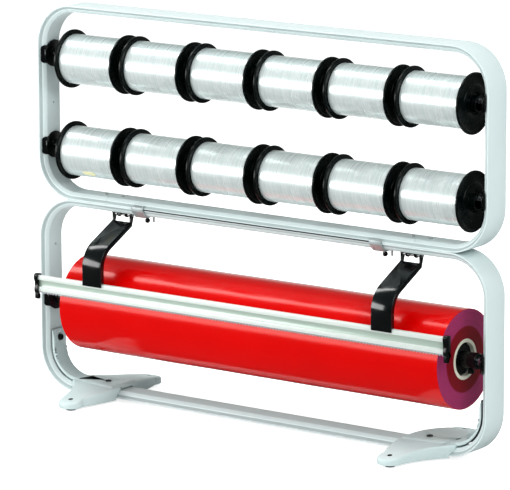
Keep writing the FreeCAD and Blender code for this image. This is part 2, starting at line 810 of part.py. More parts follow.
# ---------------------------------------------------------------- clamps between the frames


def clamp_section():
    """Section of the clamp: a band round the meeting profiles, open at the top between two lips."""
    lip_z = "(ProfileLip + ClampLip)"

    def wrap(grow):
        """Half of the band's face that lies grow away from the profiles, listed upwards."""
        corner = f"(ProfileLip + ({grow}) * ({FLANK_STRETCH} - 1) / {FLANK_SLOPE})"
        return [
            (flank(f"ProfileDepth + ({grow})", grow), f"{UNDERSIDE} - ({grow})"),
            (f"ProfileOuter / 2 + ({grow})", f"{JOINT_LEVEL} - {corner}"),
            (f"ProfileOuter / 2 + ({grow})", f"{JOINT_LEVEL} + {corner}"),
            (flank(lip_z, grow), f"{JOINT_LEVEL} + {lip_z}"),
        ]

    outside = wrap("ClampPlay + ClampThick")
    inside = wrap("ClampPlay")
    mirrored = [(f"-({x})", y) for x, y in inside]
    return outside + inside[::-1] + mirrored + [(f"-({x})", y) for x, y in outside[::-1]]


CLAMP_FLOOR = f"({UNDERSIDE} - ClampPlay - ClampThick)"


def clamp_bracket(name):
    """The clamp bent from strip, with a short ear that carries a locating pin."""
    body = new_body(name)
    section = new_sketch(body, "YZ_Plane")
    add_outline(section, clamp_section())
    pad(body, section, "ClampWidth", middle=True)
    ear = new_sketch(body, "XY_Plane", CLAMP_FLOOR)
    add_outline(ear, both_sides([
        ("ClampWidth / 2 + ClampEar", "-ClampEarDepth / 2"),
        ("ClampWidth / 2 + ClampEar", "ClampEarDepth / 2"),
    ])[:2] + [("0", "ClampEarDepth / 2"), ("0", "-ClampEarDepth / 2")])
    pad(body, ear, "ClampThick")
    pin = new_sketch(body, "XY_Plane", CLAMP_FLOOR)
    add_circle(pin, "ClampPinStep", "0", "ClampPinRadius")
    pad(body, pin, "ClampPinLength", back=True)
    bore(body, "XY_Plane", UNDERSIDE, [("0", "0")], "KnobScrew + KnobScrewPlay")
    return body


clamps = [place(clamp_bracket("clamp"), x=f"{side} * {CLAMP_X}") for side in (-1, 1)]
group("clamp_brackets", clamps)

for side, word in ((-1, "left"), (1, "right")):
    knob = new_body(f"clamp_knob_{word}")
    tip = f"({UNDERSIDE} - ClampPlay - {KNOB_Z})"
    waist = "KnobBall / 2"
    spin(knob, [
        ("0", "-KnobBall"),
        (waist, "-KnobBall"),
        ("KnobBall", f"-{waist}"),
        ("KnobBall", waist),
        ("KnobScrew", "KnobBall"),
        ("KnobScrew", tip),
        ("0", tip),
    ])
    keep(place(knob, x=f"{side} * {CLAMP_X}", z=KNOB_Z))

# ---------------------------------------------------------------- rod holders and rods


CLAW_END = f"({INNER_FACE} + ClawReach)"


def holder_section():
    """Plan of the block that the right-hand holder's saddle is cut from: it ends in two claws that
    lie on the upright's flanks."""
    grow = "(HolderPlay + HolderThick)"
    front = [
        (f"{INNER_FACE} - HolderThick", flank("ProfileDepth + HolderThick", grow)),
        (CLAW_END, flank("ProfileDepth - ClawReach", grow)),
    ]
    return front + [(x, f"-({y})") for x, y in reversed(front)]


def rod_holder(name, boss_radius, socket_radius, level, base, turn):
    """A saddle over the upright at one level, with a disc and a socket for the rod's end."""
    body = new_body(name)
    saddle = new_sketch(body, "XY_Plane", level)
    add_outline(saddle, holder_section())
    pad(body, saddle, "HolderHeight", middle=True)
    for end in (-1, 1):
        corner = new_sketch(body, "XZ_Plane")
        inner_x = f"{CLAW_END} - HolderCorner"
        outer_x = f"{CLAW_END} + HolderCorner"
        add_outline(corner, [
            (inner_x, f"{level} + {end} * HolderHeight / 2", "right" if end > 0 else "left", "HolderCorner"),
            (CLAW_END, f"{level} + {end} * (HolderHeight / 2 - HolderCorner)"),
            (outer_x, f"{level} + {end} * (HolderHeight / 2 - HolderCorner)"),
            (outer_x, f"{level} + {end} * (HolderHeight / 2 + HolderCorner)"),
            (inner_x, f"{level} + {end} * (HolderHeight / 2 + HolderCorner)"),
        ])
        pocket(body, corner, middle=True)
    disc = new_sketch(body, "YZ_Plane", INNER_FACE)
    add_circle(disc, "0", level, "DiscRadius")
    pad(body, disc, "DiscThick", back=True)
    boss = new_sketch(body, "YZ_Plane", INNER_FACE)
    add_circle(boss, "0", level, boss_radius)
    pad(body, boss, "DiscThick + BossLength", back=True)

    # the upright itself is taken out of the block, its bends too where the holder sits low
    upright = new_sketch(body, "YZ_Plane", BEND_X)
    add_outline(upright, grown_outline(base, "HolderPlay"))
    path = new_sketch(body, "XZ_Plane")
    top = f"({base} + FrameHeight)"
    add_outline(path, [
        (BEND_X, base, "left", "BendRadius"),
        ("FrameWidth / 2", f"{base} + BendRadius"),
        ("FrameWidth / 2", f"{top} - BendRadius", "left", "BendRadius"),
        (BEND_X, top),
    ], closed=False)
    cut = body.newObject("PartDesign::SubtractivePipe", "Upright")
    cut.Profile = upright
    cut.Spine = path
    bore(body, "YZ_Plane", HOLDER_SCREW_X, [("0", level)], socket_radius)
    bore(body, "YZ_Plane", INNER_FACE, [("0", level)], SCREW_HOLE)
    return keep(place(body, turn=turn))


for row, boss_radius, socket_radius, level, base in (
    ("upper", "RibbonBoss", "RibbonRod + RibbonRodPlay", UPPER_ROW, JOINT_LEVEL),
    ("middle", "RibbonBoss", "RibbonRod + RibbonRodPlay", LOWER_ROW, JOINT_LEVEL),
    ("paper", "PaperBoss", "PaperRod + PaperRodPlay", PAPER_AXIS, "FrameLift"),
):
    rod_holder(f"{row}_rod_holder_left", boss_radius, socket_radius, level, base, HALF_TURN)
    rod_holder(f"{row}_rod_holder_right", boss_radius, socket_radius, level, base, None)

ROD_HALF = f"({HOLDER_SCREW_X} - ScrewHeadHeight - RodEndPlay)"
for name, radius, level in (
    ("upper_ribbon_rod", "RibbonRod", UPPER_ROW),
    ("lower_ribbon_rod", "RibbonRod", LOWER_ROW),
    ("paper_rod", "PaperRod", PAPER_AXIS),
):
    rod = new_body(name)
    spin(rod, tube_along_x(ROD_HALF, radius), "H_Axis")
    keep(place(rod, z=level))

# ---------------------------------------------------------------- ribbon spools and windings


def spool_outline():
    """Half section of a spool: bore, tubular hub ends, two flanges and the barrel between them."""
    face = f"{SPOOL_WIDTH} / 2"
    seat = f"({SPOOL_WIDTH} / 2 - FlangeThick)"
    tube = f"({SPOOL_PITCH} - HubGap) / 2"
    right = [
        (tube, "SpoolBore"),
        (tube, "HubTube"),
        (face, "HubTube"),
        (face, "FlangeRadius"),
        (seat, "FlangeRadius"),
        (seat, "Barrel"),
    ]
    return right + [(f"-({x})", r) for x, r in reversed(right)]


def winding_outline():
    """Half section of the ribbon wound on the barrel, clear of the flanges by a little play."""
    edge = f"({SPOOL_WIDTH} / 2 - FlangeThick - RibbonPlay)"
    return [
        (f"-{edge}", "Barrel + RibbonPlay"),
        (edge, "Barrel + RibbonPlay"),
        (edge, "RibbonRadius"),
        (f"-{edge}", "RibbonRadius"),
    ]


for row, level in (("upper", UPPER_ROW), ("lower", LOWER_ROW)):
    for number in range(1, SPOOLS_PER_ROW + 1):
        steps = number - (SPOOLS_PER_ROW + 1) / 2
        centre = f"SpoolShift + {steps} * {SPOOL_PITCH}"
        spool = new_body(f"{row}_spool_{number}")
        spin(spool, spool_outline(), "H_Axis")
        keep(place(spool, x=centre, z=f"{level} - {SPOOL_HANG}"))
        winding = new_body(f"{row}_ribbon_{number}")
        spin(winding, winding_outline(), "H_Axis")
        keep(place(winding, x=centre, z=f"{level} - {SPOOL_HANG}"))

# ---------------------------------------------------------------- paper roll, core and hubs


def sleeve(name, length, inner, outer, centre, level):
    """A plain tube about the X axis."""
    body = new_body(name)
    spin(body, [
        (f"-{length} / 2", inner),
        (f"{length} / 2", inner),
        (f"{length} / 2", outer),
        (f"-{length} / 2", outer),
    ], "H_Axis")
    return keep(place(body, x=centre, z=level))


sleeve("paper_roll", ROLL_LENGTH, "CoreOuter + CorePlay", "RollRadius", ROLL_SHIFT, PAPER_AXIS)
sleeve("paper_core", ROLL_LENGTH, "CoreOuter - CoreWall", "CoreOuter", ROLL_SHIFT, PAPER_AXIS)


def hub_outline():
    """Half section of a hub whose origin is at the roll's end face, pointing outwards along +X."""
    bore_radius = "PaperRod + HubPlay"
    plug_radius = "CoreOuter - CoreWall - PlugPlay"
    return [
        ("-(PlugDepth + PlugLength)", bore_radius),
        ("CollarReach", bore_radius),
        ("CollarReach", "CollarRadius"),
        ("-PlugDepth", "CollarRadius"),
        ("-PlugDepth", plug_radius),
        ("-(PlugDepth + PlugLength)", plug_radius),
    ]


for side, word in ((-1, "left"), (1, "right")):
    end_x = f"{ROLL_SHIFT} + {side} * {ROLL_LENGTH} / 2"
    turn = HALF_TURN if side < 0 else None
    hub = new_body(f"paper_hub_{word}")
    spin(hub, hub_outline(), "H_Axis")
    bore(hub, "XY_Plane", "0", [("ThumbReach", "0")], "ThumbRadius + ScrewPlay")
    keep(place(hub, x=end_x, z=PAPER_AXIS, turn=turn))

    thumb = new_body(f"hub_screw_{word}")
    spin(thumb, [
        ("0", "-(PaperRod + ThumbTipGap)"),
        ("0", "-(CollarRadius + ThumbHeadGap + ThumbHeadLength)"),
        ("ThumbHead", "-(CollarRadius + ThumbHeadGap + ThumbHeadLength)"),
        ("ThumbHead", "-(CollarRadius + ThumbHeadGap)"),
        ("ThumbRadius", "-(CollarRadius + ThumbHeadGap)"),
        ("ThumbRadius", "-(PaperRod + ThumbTipGap)"),
    ])
    keep(place(thumb, x=f"{end_x} + {side} * ThumbReach", z=PAPER_AXIS))

# ---------------------------------------------------------------- cutter arms, brackets and pins


def arm_line(inset):
    """The arm's face at a depth behind its front: slope, bend and drop, as points (y, z) from the
    top, with the angle of the slope measured below the horizontal."""
    reach = f"(ArmBend - ({inset}))"
    bend_y = f"(-{ARM_BEND_Y} - {reach} * sin(ArmSlope))"
    bend_z = f"({ARM_BEND_Z} + {reach} * cos(ArmSlope))"
    top = (f"{bend_y} + {ARM_RUN} * cos(ArmSlope)", f"{bend_z} + {ARM_RUN} * sin(ArmSlope)")
    return [top, (bend_y, bend_z), (f"-({ARM_FRONT} - ({inset}))", ARM_BEND_Z)]


def arm_side():
    """Side view of the arm: ears round the hinge pin, slope, bend and drop to the bar."""
    front = arm_line("0")
    back = arm_line("ArmDepth")
    return [
        ("-EarRadius", PIN_Z),
        front[0],
        front[1] + ("left", "ArmBend"),
        front[2],
        (f"-{ARM_FRONT}", LIP_BOTTOM),
        (f"-({ARM_FRONT} - LipThick)", LIP_BOTTOM),
        (f"-({ARM_FRONT} - LipThick)", BAR_TOP),
        (f"-({ARM_FRONT} - ArmDepth)", BAR_TOP),
        back[2] + ("right", "ArmBend - ArmDepth"),
        back[1],
        back[0],
        ("EarRadius", PIN_Z, "left", "EarRadius"),
        ("0", f"{PIN_Z} + EarRadius", "left", "EarRadius"),
    ]


def arm_hollow():
    """Side view of the space between the arm's flanges, open to the back and above the front wall."""
    inner = arm_line("ArmWall")
    front = arm_line("0")
    behind = arm_line("2 * ArmDepth")
    return [
        ("-2 * EarRadius", f"{PIN_Z} + 2 * EarRadius"),
        ("-2 * EarRadius", front[0][1]),
        front[0],
        inner[0],
        inner[1] + ("left", "ArmBend - ArmWall"),
        inner[2],
        (f"-({ARM_FRONT} - ArmWall)", f"{BAR_TOP} + WebThick"),
        (f"-({ARM_FRONT} - 2 * ArmDepth)", f"{BAR_TOP} + WebThick"),
        behind[2] + ("right", "ArmBend - 2 * ArmDepth"),
        behind[1],
        behind[0],
        ("2 * EarRadius", f"{PIN_Z} + 2 * EarRadius"),
    ]


ARM_SCREW_HOLE = "ArmScrewRadius + ScrewPlay"


def cutter_arm(name, side):
    body = new_body(name)
    outline = new_sketch(body, "YZ_Plane")
    add_outline(outline, arm_side())
    pad(body, outline, "ArmWidth", middle=True)
    hollow = new_sketch(body, "YZ_Plane")
    add_outline(hollow, arm_hollow())
    pocket(body, hollow, "ArmWidth - 2 * ArmWall", middle=True)
    bore(body, "YZ_Plane", "0", [("0", PIN_Z)], "PinRadius + PinPlay", middle=True)
    bore(body, "XY_Plane", f"{BAR_TOP} + 2 * WebThick", [("0", f"-{BAR_MIDDLE}")], ARM_SCREW_HOLE,
         "3 * WebThick")
    return keep(place(body, x=f"{side} * {ARM_X}"))


def arm_bracket(name):
    """The hinge bracket under the frame: a plate with two lugs that hold the pin."""
    body = new_body(name)
    plate = new_sketch(body, "XY_Plane", f"{UNDERSIDE} - BracketThick")
    add_outline(plate, both_sides([
        ("BracketWidth / 2", "-BracketDepth / 2"),
        ("BracketWidth / 2", "BracketDepth / 2"),
    ]))
    pad(body, plate, "BracketThick")
    for lug_side in (-1, 1):
        lug = new_sketch(body, "YZ_Plane", f"{lug_side} * LugStep - LugThick / 2")
        add_outline(lug, [
            ("LugRadius", f"{UNDERSIDE} - BracketThick / 2"),
            ("-LugRadius", f"{UNDERSIDE} - BracketThick / 2"),
            ("-LugRadius", PIN_Z, "left", "LugRadius"),
            ("0", f"{PIN_Z} - LugRadius", "left", "LugRadius"),
            ("LugRadius", PIN_Z),
        ])
        pad(body, lug, "LugThick")
    bore(body, "YZ_Plane", "0", [("0", PIN_Z)], "PinRadius + PinPlay", middle=True)
    bore(body, "XY_Plane", UNDERSIDE, [("0", "-BracketScrewY"), ("0", "BracketScrewY")], SCREW_HOLE)
    return body


brackets = []
pins = []
arm_screws = []
for side, word in ((-1, "left"), (1, "right")):
    cutter_arm(f"cutter_arm_{word}", side)
    brackets.append(place(arm_bracket("arm_bracket"), x=f"{side} * {ARM_X}"))
    pin = new_body("hinge_pin")
    spin(pin, tube_along_x("ArmWidth / 2 + PinOverhang", "PinRadius"), "H_Axis")
    pins.append(place(pin, x=f"{side} * {ARM_X}", z=PIN_Z))
    screw = pan_screw("arm_screw", "ArmScrewLength", "ArmScrewRadius", "ArmScrewHead")
    arm_screws.append(place(screw, x=f"{side} * {ARM_X}", y=f"-{BAR_MIDDLE}", z=f"{BAR_TOP} + WebThick"))
group("arm_brackets", brackets)
group("hinge_pins", pins)
group("arm_screws", arm_screws)

# ---------------------------------------------------------------- cutter bar, blade and end caps


def bar_outline():
    """Section of the extruded bar, front to the left: top bead, hollow band, low bead, blade slot."""

    def front(depth):
        return f"-({BAR_BACK} + {depth})"

    low = f"({BAR_BOTTOM} + LowBeadHeight)"
    high = f"({BAR_TOP} - TopBeadHeight)"
    slot = "(BladeThick / 2 + BladePlay)"
    return [
        (f"-{BAR_BACK}", BAR_BOTTOM),
        (f"-{BAR_BACK}", BAR_TOP),
        (front("TopBeadDepth - BeadRadius"), BAR_TOP, "left", "BeadRadius"),
        (front("TopBeadDepth"), f"{BAR_TOP} - BeadRadius"),
        (front("TopBeadDepth"), f"{high} + BeadRadius", "left", "BeadRadius"),
        (front("TopBeadDepth - BeadRadius"), high),
        (front("BandDepth"), high, "right", "BandRadius"),
        (front("BandDepth"), low),
        (front("LowBeadDepth - BeadRadius"), low, "left", "BeadRadius"),
        (front("LowBeadDepth"), f"{low} - BeadRadius"),
        (front("LowBeadDepth"), f"{BAR_BOTTOM} + BeadRadius", "left", "BeadRadius"),
        (front("LowBeadDepth - BeadRadius"), BAR_BOTTOM),
        (f"-({BAR_BACK} + BladeInset + {slot})", BAR_BOTTOM),
        (f"-({BAR_BACK} + BladeInset + {slot})", f"{BAR_BOTTOM} + BladeSeat + BladePlay"),
        (f"-({BAR_BACK} + BladeInset - {slot})", f"{BAR_BOTTOM} + BladeSeat + BladePlay"),
        (f"-({BAR_BACK} + BladeInset - {slot})", BAR_BOTTOM),
    ]


bar = new_body("cutter_bar")
section = new_sketch(bar, "YZ_Plane")
add_outline(section, bar_outline())
pad(bar, section, f"2 * {BAR_HALF}", middle=True)
bore(bar, "XY_Plane", BAR_TOP, [(f"-{ARM_X}", f"-{BAR_MIDDLE}"), (ARM_X, f"-{BAR_MIDDLE}")],
     ARM_SCREW_HOLE, "TopBeadHeight")
keep(bar)

# the blade is a strip whose lower edge is notched along its whole length
blade = new_body("tear_blade")
strip = new_sketch(blade, "XZ_Plane", f"{BAR_BACK} + BladeInset")
add_outline(strip, both_sides([
    (BLADE_HALF, f"{BAR_BOTTOM} - BladeReach"),
    (BLADE_HALF, f"{BAR_BOTTOM} + BladeSeat"),
]))
pad(blade, strip, "BladeThick", middle=True)
notch = new_sketch(blade, "XZ_Plane", f"{BAR_BACK} + BladeInset")
tooth_base = f"{BAR_BOTTOM} - BladeReach"
add_outline(notch, [
    (f"-{BLADE_HALF}", f"{tooth_base} - ToothDepth"),
    (f"-{BLADE_HALF} + ToothPitch", f"{tooth_base} - ToothDepth"),
    (f"-{BLADE_HALF} + ToothPitch", tooth_base),
    (f"-{BLADE_HALF} + ToothPitch / 2", f"{tooth_base} + ToothDepth"),
    (f"-{BLADE_HALF}", tooth_base),
])
tooth = pocket(blade, notch, middle=True)
row_of_teeth = blade.newObject("PartDesign::LinearPattern", "Teeth")
row_of_teeth.Originals = [tooth]
row_of_teeth.Direction = (notch, ["H_Axis"])
row_of_teeth.Mode = "Spacing"
row_of_teeth.setExpression("Offset", bind("ToothPitch"))
row_of_teeth.setExpression("Occurrences", bind(f"floor(2 * {BLADE_HALF} / ToothPitch)"))
blade.Tip = row_of_teeth
keep(blade)


def end_cap(side):
    """Moulded cap over one end of the bar: it follows the two beads with a waist between them, and
    ends in a thumb tab below."""
    body = new_body("end_cap")
    grow = "(CapPlay + CapWall)"
    high = f"({BAR_TOP} - TopBeadHeight)"
    low = f"({BAR_BOTTOM} + LowBeadHeight)"
    foot_z = f"({BAR_BOTTOM} - CapWall)"
    tab_z = f"({BAR_BOTTOM} - CapTab)"
    top_front = f"-({BAR_BACK} + TopBeadDepth + {grow})"
    low_front = f"-({BAR_BACK} + LowBeadDepth + {grow})"
    back = f"-({BAR_BACK} - {grow})"
    tab_front = f"-({BAR_MIDDLE} + CapTabWidth / 2)"
    tab_back = f"-({BAR_MIDDLE} - CapTabWidth / 2)"
    outline = new_sketch(body, "YZ_Plane", f"{side} * ({BAR_HALF} - CapLap)")
    add_outline(outline, [
        (back, foot_z),
        (back, f"{BAR_TOP} + {grow} - CapCorner", "left", "CapCorner"),
        (f"{back} - CapCorner", f"{BAR_TOP} + {grow}"),
        (f"{top_front} + BeadRadius + {grow}", f"{BAR_TOP} + {grow}", "left", f"BeadRadius + {grow}"),
        (top_front, f"{BAR_TOP} - BeadRadius"),
        (top_front, f"{high} + BeadRadius", "right", "CapWaist"),
        (low_front, f"{low} - BeadRadius"),
        (low_front, f"{foot_z} + CapCorner", "left", "CapCorner"),
        (f"{low_front} + CapCorner", foot_z),
        (tab_front, foot_z),
        (tab_front, f"{tab_z} + CapTabCorner", "left", "CapTabCorner"),
        (f"{tab_front} + CapTabCorner", tab_z),
        (f"{tab_back} - CapTabCorner", tab_z, "left", "CapTabCorner"),
        (tab_back, f"{tab_z} + CapTabCorner"),
        (tab_back, foot_z),
    ])
    pad(body, outline, "CapLap + CapThick", back=side < 0)
    cup = new_sketch(body, "YZ_Plane", f"{side} * ({BAR_HALF} + CapPlay)")
    blade_z = f"{BAR_BOTTOM} - BladeReach - CapPlay"
    add_outline(cup, [
        (f"-({BAR_BACK} - CapPlay)", blade_z),
        (f"-({BAR_BACK} - CapPlay)", f"{BAR_TOP} + CapPlay"),
        (f"-({BAR_BACK} + TopBeadDepth + CapPlay)", f"{BAR_TOP} + CapPlay"),
        (f"-({BAR_BACK} + TopBeadDepth + CapPlay)", f"{high} - CapPlay"),
        (f"-({BAR_BACK} + BandDepth + CapPlay)", f"{high} - CapPlay"),
        (f"-({BAR_BACK} + BandDepth + CapPlay)", f"{low} + CapPlay"),
        (f"-({BAR_BACK} + LowBeadDepth + CapPlay)", f"{low} + CapPlay"),
        (f"-({BAR_BACK} + LowBeadDepth + CapPlay)", blade_z),
    ])
    pocket(body, cup, forward=side < 0)
    return body


group("bar_end_caps", [end_cap(-1), end_cap(1)])

# ---------------------------------------------------------------- check and write

doc.recompute()

broken = [o.Name for o in doc.Objects if {"Invalid", "Error"} & set(o.State)]
if broken:
    raise RuntimeError(f"objects that failed to recompute: {broken}")
for node in nodes:
    if node.Shape.isNull() or not node.Shape.isValid():
        raise RuntimeError(f"{node.Label} has no valid shape")

os.makedirs("parts", exist_ok=True)
for node in nodes:
    node.Shape.exportStep(f"parts/{node.Label}.step")
print(f"{len(nodes)} sub-parts written")
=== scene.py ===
# Ribbon spool dispenser with a paper roll and a hinged cutter bar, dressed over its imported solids.
#
# Metres, +X to the user's right, -Y to the front, +Z up. The origin lies on the counter under the
# middle of the dispenser.

import math

import bmesh
import bpy
import numpy as np
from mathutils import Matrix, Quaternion, Vector


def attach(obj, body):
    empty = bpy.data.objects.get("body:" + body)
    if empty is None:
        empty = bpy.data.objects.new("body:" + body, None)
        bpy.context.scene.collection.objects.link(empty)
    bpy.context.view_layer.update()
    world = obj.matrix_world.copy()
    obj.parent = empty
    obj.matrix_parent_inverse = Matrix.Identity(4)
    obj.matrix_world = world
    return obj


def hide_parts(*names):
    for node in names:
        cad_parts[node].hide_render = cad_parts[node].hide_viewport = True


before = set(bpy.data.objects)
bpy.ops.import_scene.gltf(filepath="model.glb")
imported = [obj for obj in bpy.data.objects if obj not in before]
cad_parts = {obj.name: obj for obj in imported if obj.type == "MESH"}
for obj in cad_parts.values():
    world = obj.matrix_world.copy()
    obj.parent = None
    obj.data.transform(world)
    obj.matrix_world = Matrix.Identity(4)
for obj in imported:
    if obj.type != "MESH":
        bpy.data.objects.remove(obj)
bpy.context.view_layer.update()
scene = bpy.context.scene
scene.view_settings.view_transform = "Standard"

# ---------------------------------------------------------------- camera
# A long lens on a stand, six and a half metres off and to the right of the front. It stands a
# little higher than the dispenser and looks down on it.

AIM = Vector((-0.0179, 0.0, 0.2949))
DISTANCE = 6.4718
AZIMUTH = math.radians(36.42)
ELEVATION = math.radians(11.41)
ROLL = math.radians(-0.21)
SENSOR = 36
FOCAL_PIXELS, PICTURE_WIDTH = 4013.6, 510


def bearing(azimuth, elevation):
    """The unit vector from the object towards a place round it: azimuth 0 is the front, 90 the right."""
    level = math.cos(elevation)
    return Vector((math.sin(azimuth) * level, -math.cos(azimuth) * level, math.sin(elevation)))


camera = bpy.data.objects.new("camera", bpy.data.cameras.new("camera"))
scene.collection.objects.link(camera)
camera.data.sensor_width = SENSOR
camera.data.lens = SENSOR * FOCAL_PIXELS / PICTURE_WIDTH
camera.data.clip_end = 60
outwards = bearing(AZIMUTH, ELEVATION)
camera.location = AIM + outwards * DISTANCE
camera.rotation_mode = "QUATERNION"
camera.rotation_quaternion = (-outwards).to_track_quat("-Z", "Y") @ Quaternion((0, 0, 1), ROLL)
scene.camera = camera

# ---------------------------------------------------------------- floor and light
# White paper fans out behind the object, in a room that is pale behind it and dark on the near side.
# Soft boxes: a large one to the right, a long low one and a high one to the left, whose streaks run
# along everything round, and two dim ones overhead and behind.

WHITE = (1, 1, 1, 1)
ROOM_TINT, ROOM_LIGHT = (0.95, 1.0, 1.0, 1), 0.34
HORIZON, OVERHEAD, NEAR_SIDE = (0.95, 0.96, 0.92, 1), (0.14, 0.18, 0.17, 1), (0.03, 0.05, 0.05, 1)
OVERHEAD_FROM, OVERHEAD_TO = 0.14, 0.4
FAR_SIDE_FULL = 0.7


def add(tree, kind, inputs=None, **settings):
    """A shader node with its settings, each input given a value or another node's output."""
    made = tree.nodes.new("ShaderNode" + kind)
    for key, setting in settings.items():
        setattr(made, key, setting)
    for key, given in (inputs or {}).items():
        if isinstance(given, bpy.types.NodeSocket):
            tree.links.new(given, made.inputs[key])
        else:
            made.inputs[key].default_value = given
    return made


def mixed(tree, share, first, second):
    """The colour between two: the first where the share is 0, the second where it is 1."""
    return add(tree, "Mix", {0: share, 6: first, 7: second}, data_type="RGBA").outputs[2]


def reckoned(tree, operation, *numbers):
    """The result of an operation on one, two or three numbers."""
    return add(tree, "Math", dict(enumerate(numbers)), operation=operation).outputs[0]


def vectored(tree, operation, *vectors):
    """The result of an operation on vectors: a number for a product or a length, else a vector."""
    outputs = add(tree, "VectorMath", dict(enumerate(vectors)), operation=operation).outputs
    return outputs["Value" if operation in ("DOT_PRODUCT", "LENGTH") else "Vector"]


def ramp(tree, number, start=0.0, end=1.0, low=0.0, high=1.0):
    """Low up to the start, high from the end on, and evenly from one to the other between them."""
    return add(tree, "MapRange", {"Value": number, "From Min": start, "From Max": end,
                                  "To Min": low, "To Max": high}).outputs[0]


def rays(tree):
    """Two masks: 1 where the camera looks straight on, and 1 where it looks by a mirror or glass."""
    path = add(tree, "LightPath").outputs
    by_mirror = reckoned(tree, "MAXIMUM", path["Is Glossy Ray"], path["Is Transmission Ray"])
    return path["Is Camera Ray"], by_mirror


def new_material(name):
    """An empty node material, and its tree."""
    material = bpy.data.materials.new(name)
    material.use_nodes = True
    material.node_tree.nodes.clear()
    return material, material.node_tree


world = bpy.data.worlds.new("studio")
scene.world = world
world.use_nodes = True
studio = world.node_tree
studio.nodes.clear()
direction = add(studio, "TexCoord").outputs["Generated"]
upward = add(studio, "SeparateXYZ", {0: direction}).outputs["Z"]
facing = vectored(studio, "DOT_PRODUCT", direction, -bearing(AZIMUTH, 0))
far_side = ramp(studio, facing, 0.0, FAR_SIDE_FULL)
walls = mixed(studio, far_side, NEAR_SIDE, HORIZON)
dome = mixed(studio, ramp(studio, upward, OVERHEAD_FROM, OVERHEAD_TO), walls, OVERHEAD)
by_camera, by_mirror = rays(studio)
room = add(studio, "Background", {"Color": ROOM_TINT, "Strength": ROOM_LIGHT})
backdrop = add(studio, "Background", {"Color": mixed(studio, by_camera, dome, WHITE), "Strength": 1.0})
either = add(studio, "MixShader", {0: reckoned(studio, "MAXIMUM", by_camera, by_mirror),
                                   1: room.outputs[0], 2: backdrop.outputs[0]})
add(studio, "OutputWorld", {"Surface": either.outputs[0]})

HALF_FLOOR = 15
FAN_SETBACK = 0.45
FAN_FROM, FAN_TO, FAN_LEAST = 0.2, 0.8, 0.06
PAPER_WHITE = (0.86, 0.88, 0.88, 1)
MIRRORED_NEAR, MIRRORED_FAR = (0.02, 0.02, 0.02, 1), (0.3, 0.31, 0.31, 1)
SHEET_GLOW = 0.8

floor_paper, sheet = new_material("floor_paper")
place = add(sheet, "TexCoord").outputs["Object"]
outward = vectored(sheet, "NORMALIZE", vectored(sheet, "ADD", place, bearing(AZIMUTH, 0) * FAN_SETBACK))
away_from_camera = vectored(sheet, "DOT_PRODUCT", outward, -bearing(AZIMUTH, 0))
fan = ramp(sheet, away_from_camera, FAN_FROM, FAN_TO, FAN_LEAST)
by_camera, by_mirror = rays(sheet)
tone = mixed(sheet, by_mirror, PAPER_WHITE, mixed(sheet, fan, MIRRORED_NEAR, MIRRORED_FAR))
lit = add(sheet, "BsdfDiffuse", {"Color": tone})
shown = reckoned(sheet, "MULTIPLY", by_camera, SHEET_GLOW)
reflected = reckoned(sheet, "MULTIPLY", by_mirror, reckoned(sheet, "MULTIPLY", fan, SHEET_GLOW))
glow = add(sheet, "Emission", {"Color": WHITE, "Strength": reckoned(sheet, "MAXIMUM", shown, reflected)})
both = add(sheet, "AddShader", {0: lit.outputs[0], 1: glow.outputs[0]})
add(sheet, "OutputMaterial", {"Surface": both.outputs[0]})

floor_mesh = bpy.data.meshes.new("floor")
corners = [(x * HALF_FLOOR, y * HALF_FLOOR, 0) for x, y in ((-1, -1), (1, -1), (1, 1), (-1, 1))]
floor_mesh.from_pydata(corners, [], [(0, 1, 2, 3)])
floor_mesh.materials.append(floor_paper)
floor = bpy.data.objects.new("floor", floor_mesh)
scene.collection.objects.link(floor)

LIT_MIDDLE = Vector((0, 0, 0.33))


def soft_box(name, azimuth, elevation, distance, width, tall, power, mirrored=True):
    """A rectangular lamp at a bearing in degrees and a distance from the object's middle, facing it,
    its power in watts. One that is not mirrored lights the surfaces without showing in them."""
    lamp = bpy.data.objects.new(name, bpy.data.lights.new(name, "AREA"))
    scene.collection.objects.link(lamp)
    lamp.data.shape = "RECTANGLE"
    lamp.data.size, lamp.data.size_y = width, tall
    lamp.data.energy = power
    away = bearing(math.radians(azimuth), math.radians(elevation))
    lamp.location = LIT_MIDDLE + away * distance
    lamp.rotation_mode = "QUATERNION"
    lamp.rotation_quaternion = (-away).to_track_quat("-Z", "Y")
    lamp.visible_camera = False
    lamp.visible_glossy = mirrored


soft_box("right_box", 62, 34, 3.0, 1.8, 1.6, 55)
soft_box("left_box", -43, 7, 2.7, 2.0, 0.8, 42)
soft_box("high_box", -87, 54, 2.7, 0.55, 2.0, 30)
soft_box("top_box", -8, 80, 2.4, 1.6, 1.2, 17, mirrored=False)
soft_box("back_box", 205, 40, 3.0, 1.6, 1.2, 10, mirrored=False)

# ---------------------------------------------------------------- frame hoops and bars
# Two hoops of light metal profile, bent round four corners each and stacked. Each is open at the
# bottom, where a straight bar of the same profile closes it. All of it is powder coated pale grey.

HALF_WIDTH = 0.445
HOOP_HEIGHT = 0.325
LOWER_LEVEL, UPPER_LEVEL = 0.008, 0.333
BEND = 0.070
DEPTH, OUTER_HALF, INNER_HALF, LIP = 0.012, 0.026, 0.0165, 0.002
HOLLOW = ((0.0006, 0.0), (0.0016, 0.0008), (0.0062, 0.0008), (0.0074, 0.0))
LIP_EASE, HOLLOW_EASE, INNER_EASE = 0.0006, 0.0004, 0.0011
SEAM_BEVEL = 0.0005
UPPER_SEAM, LOWER_SEAM = 0.306, 0.352
SEAM_GAP = 0.0003
CREASE = 38
EASE_SHARE = 0.48


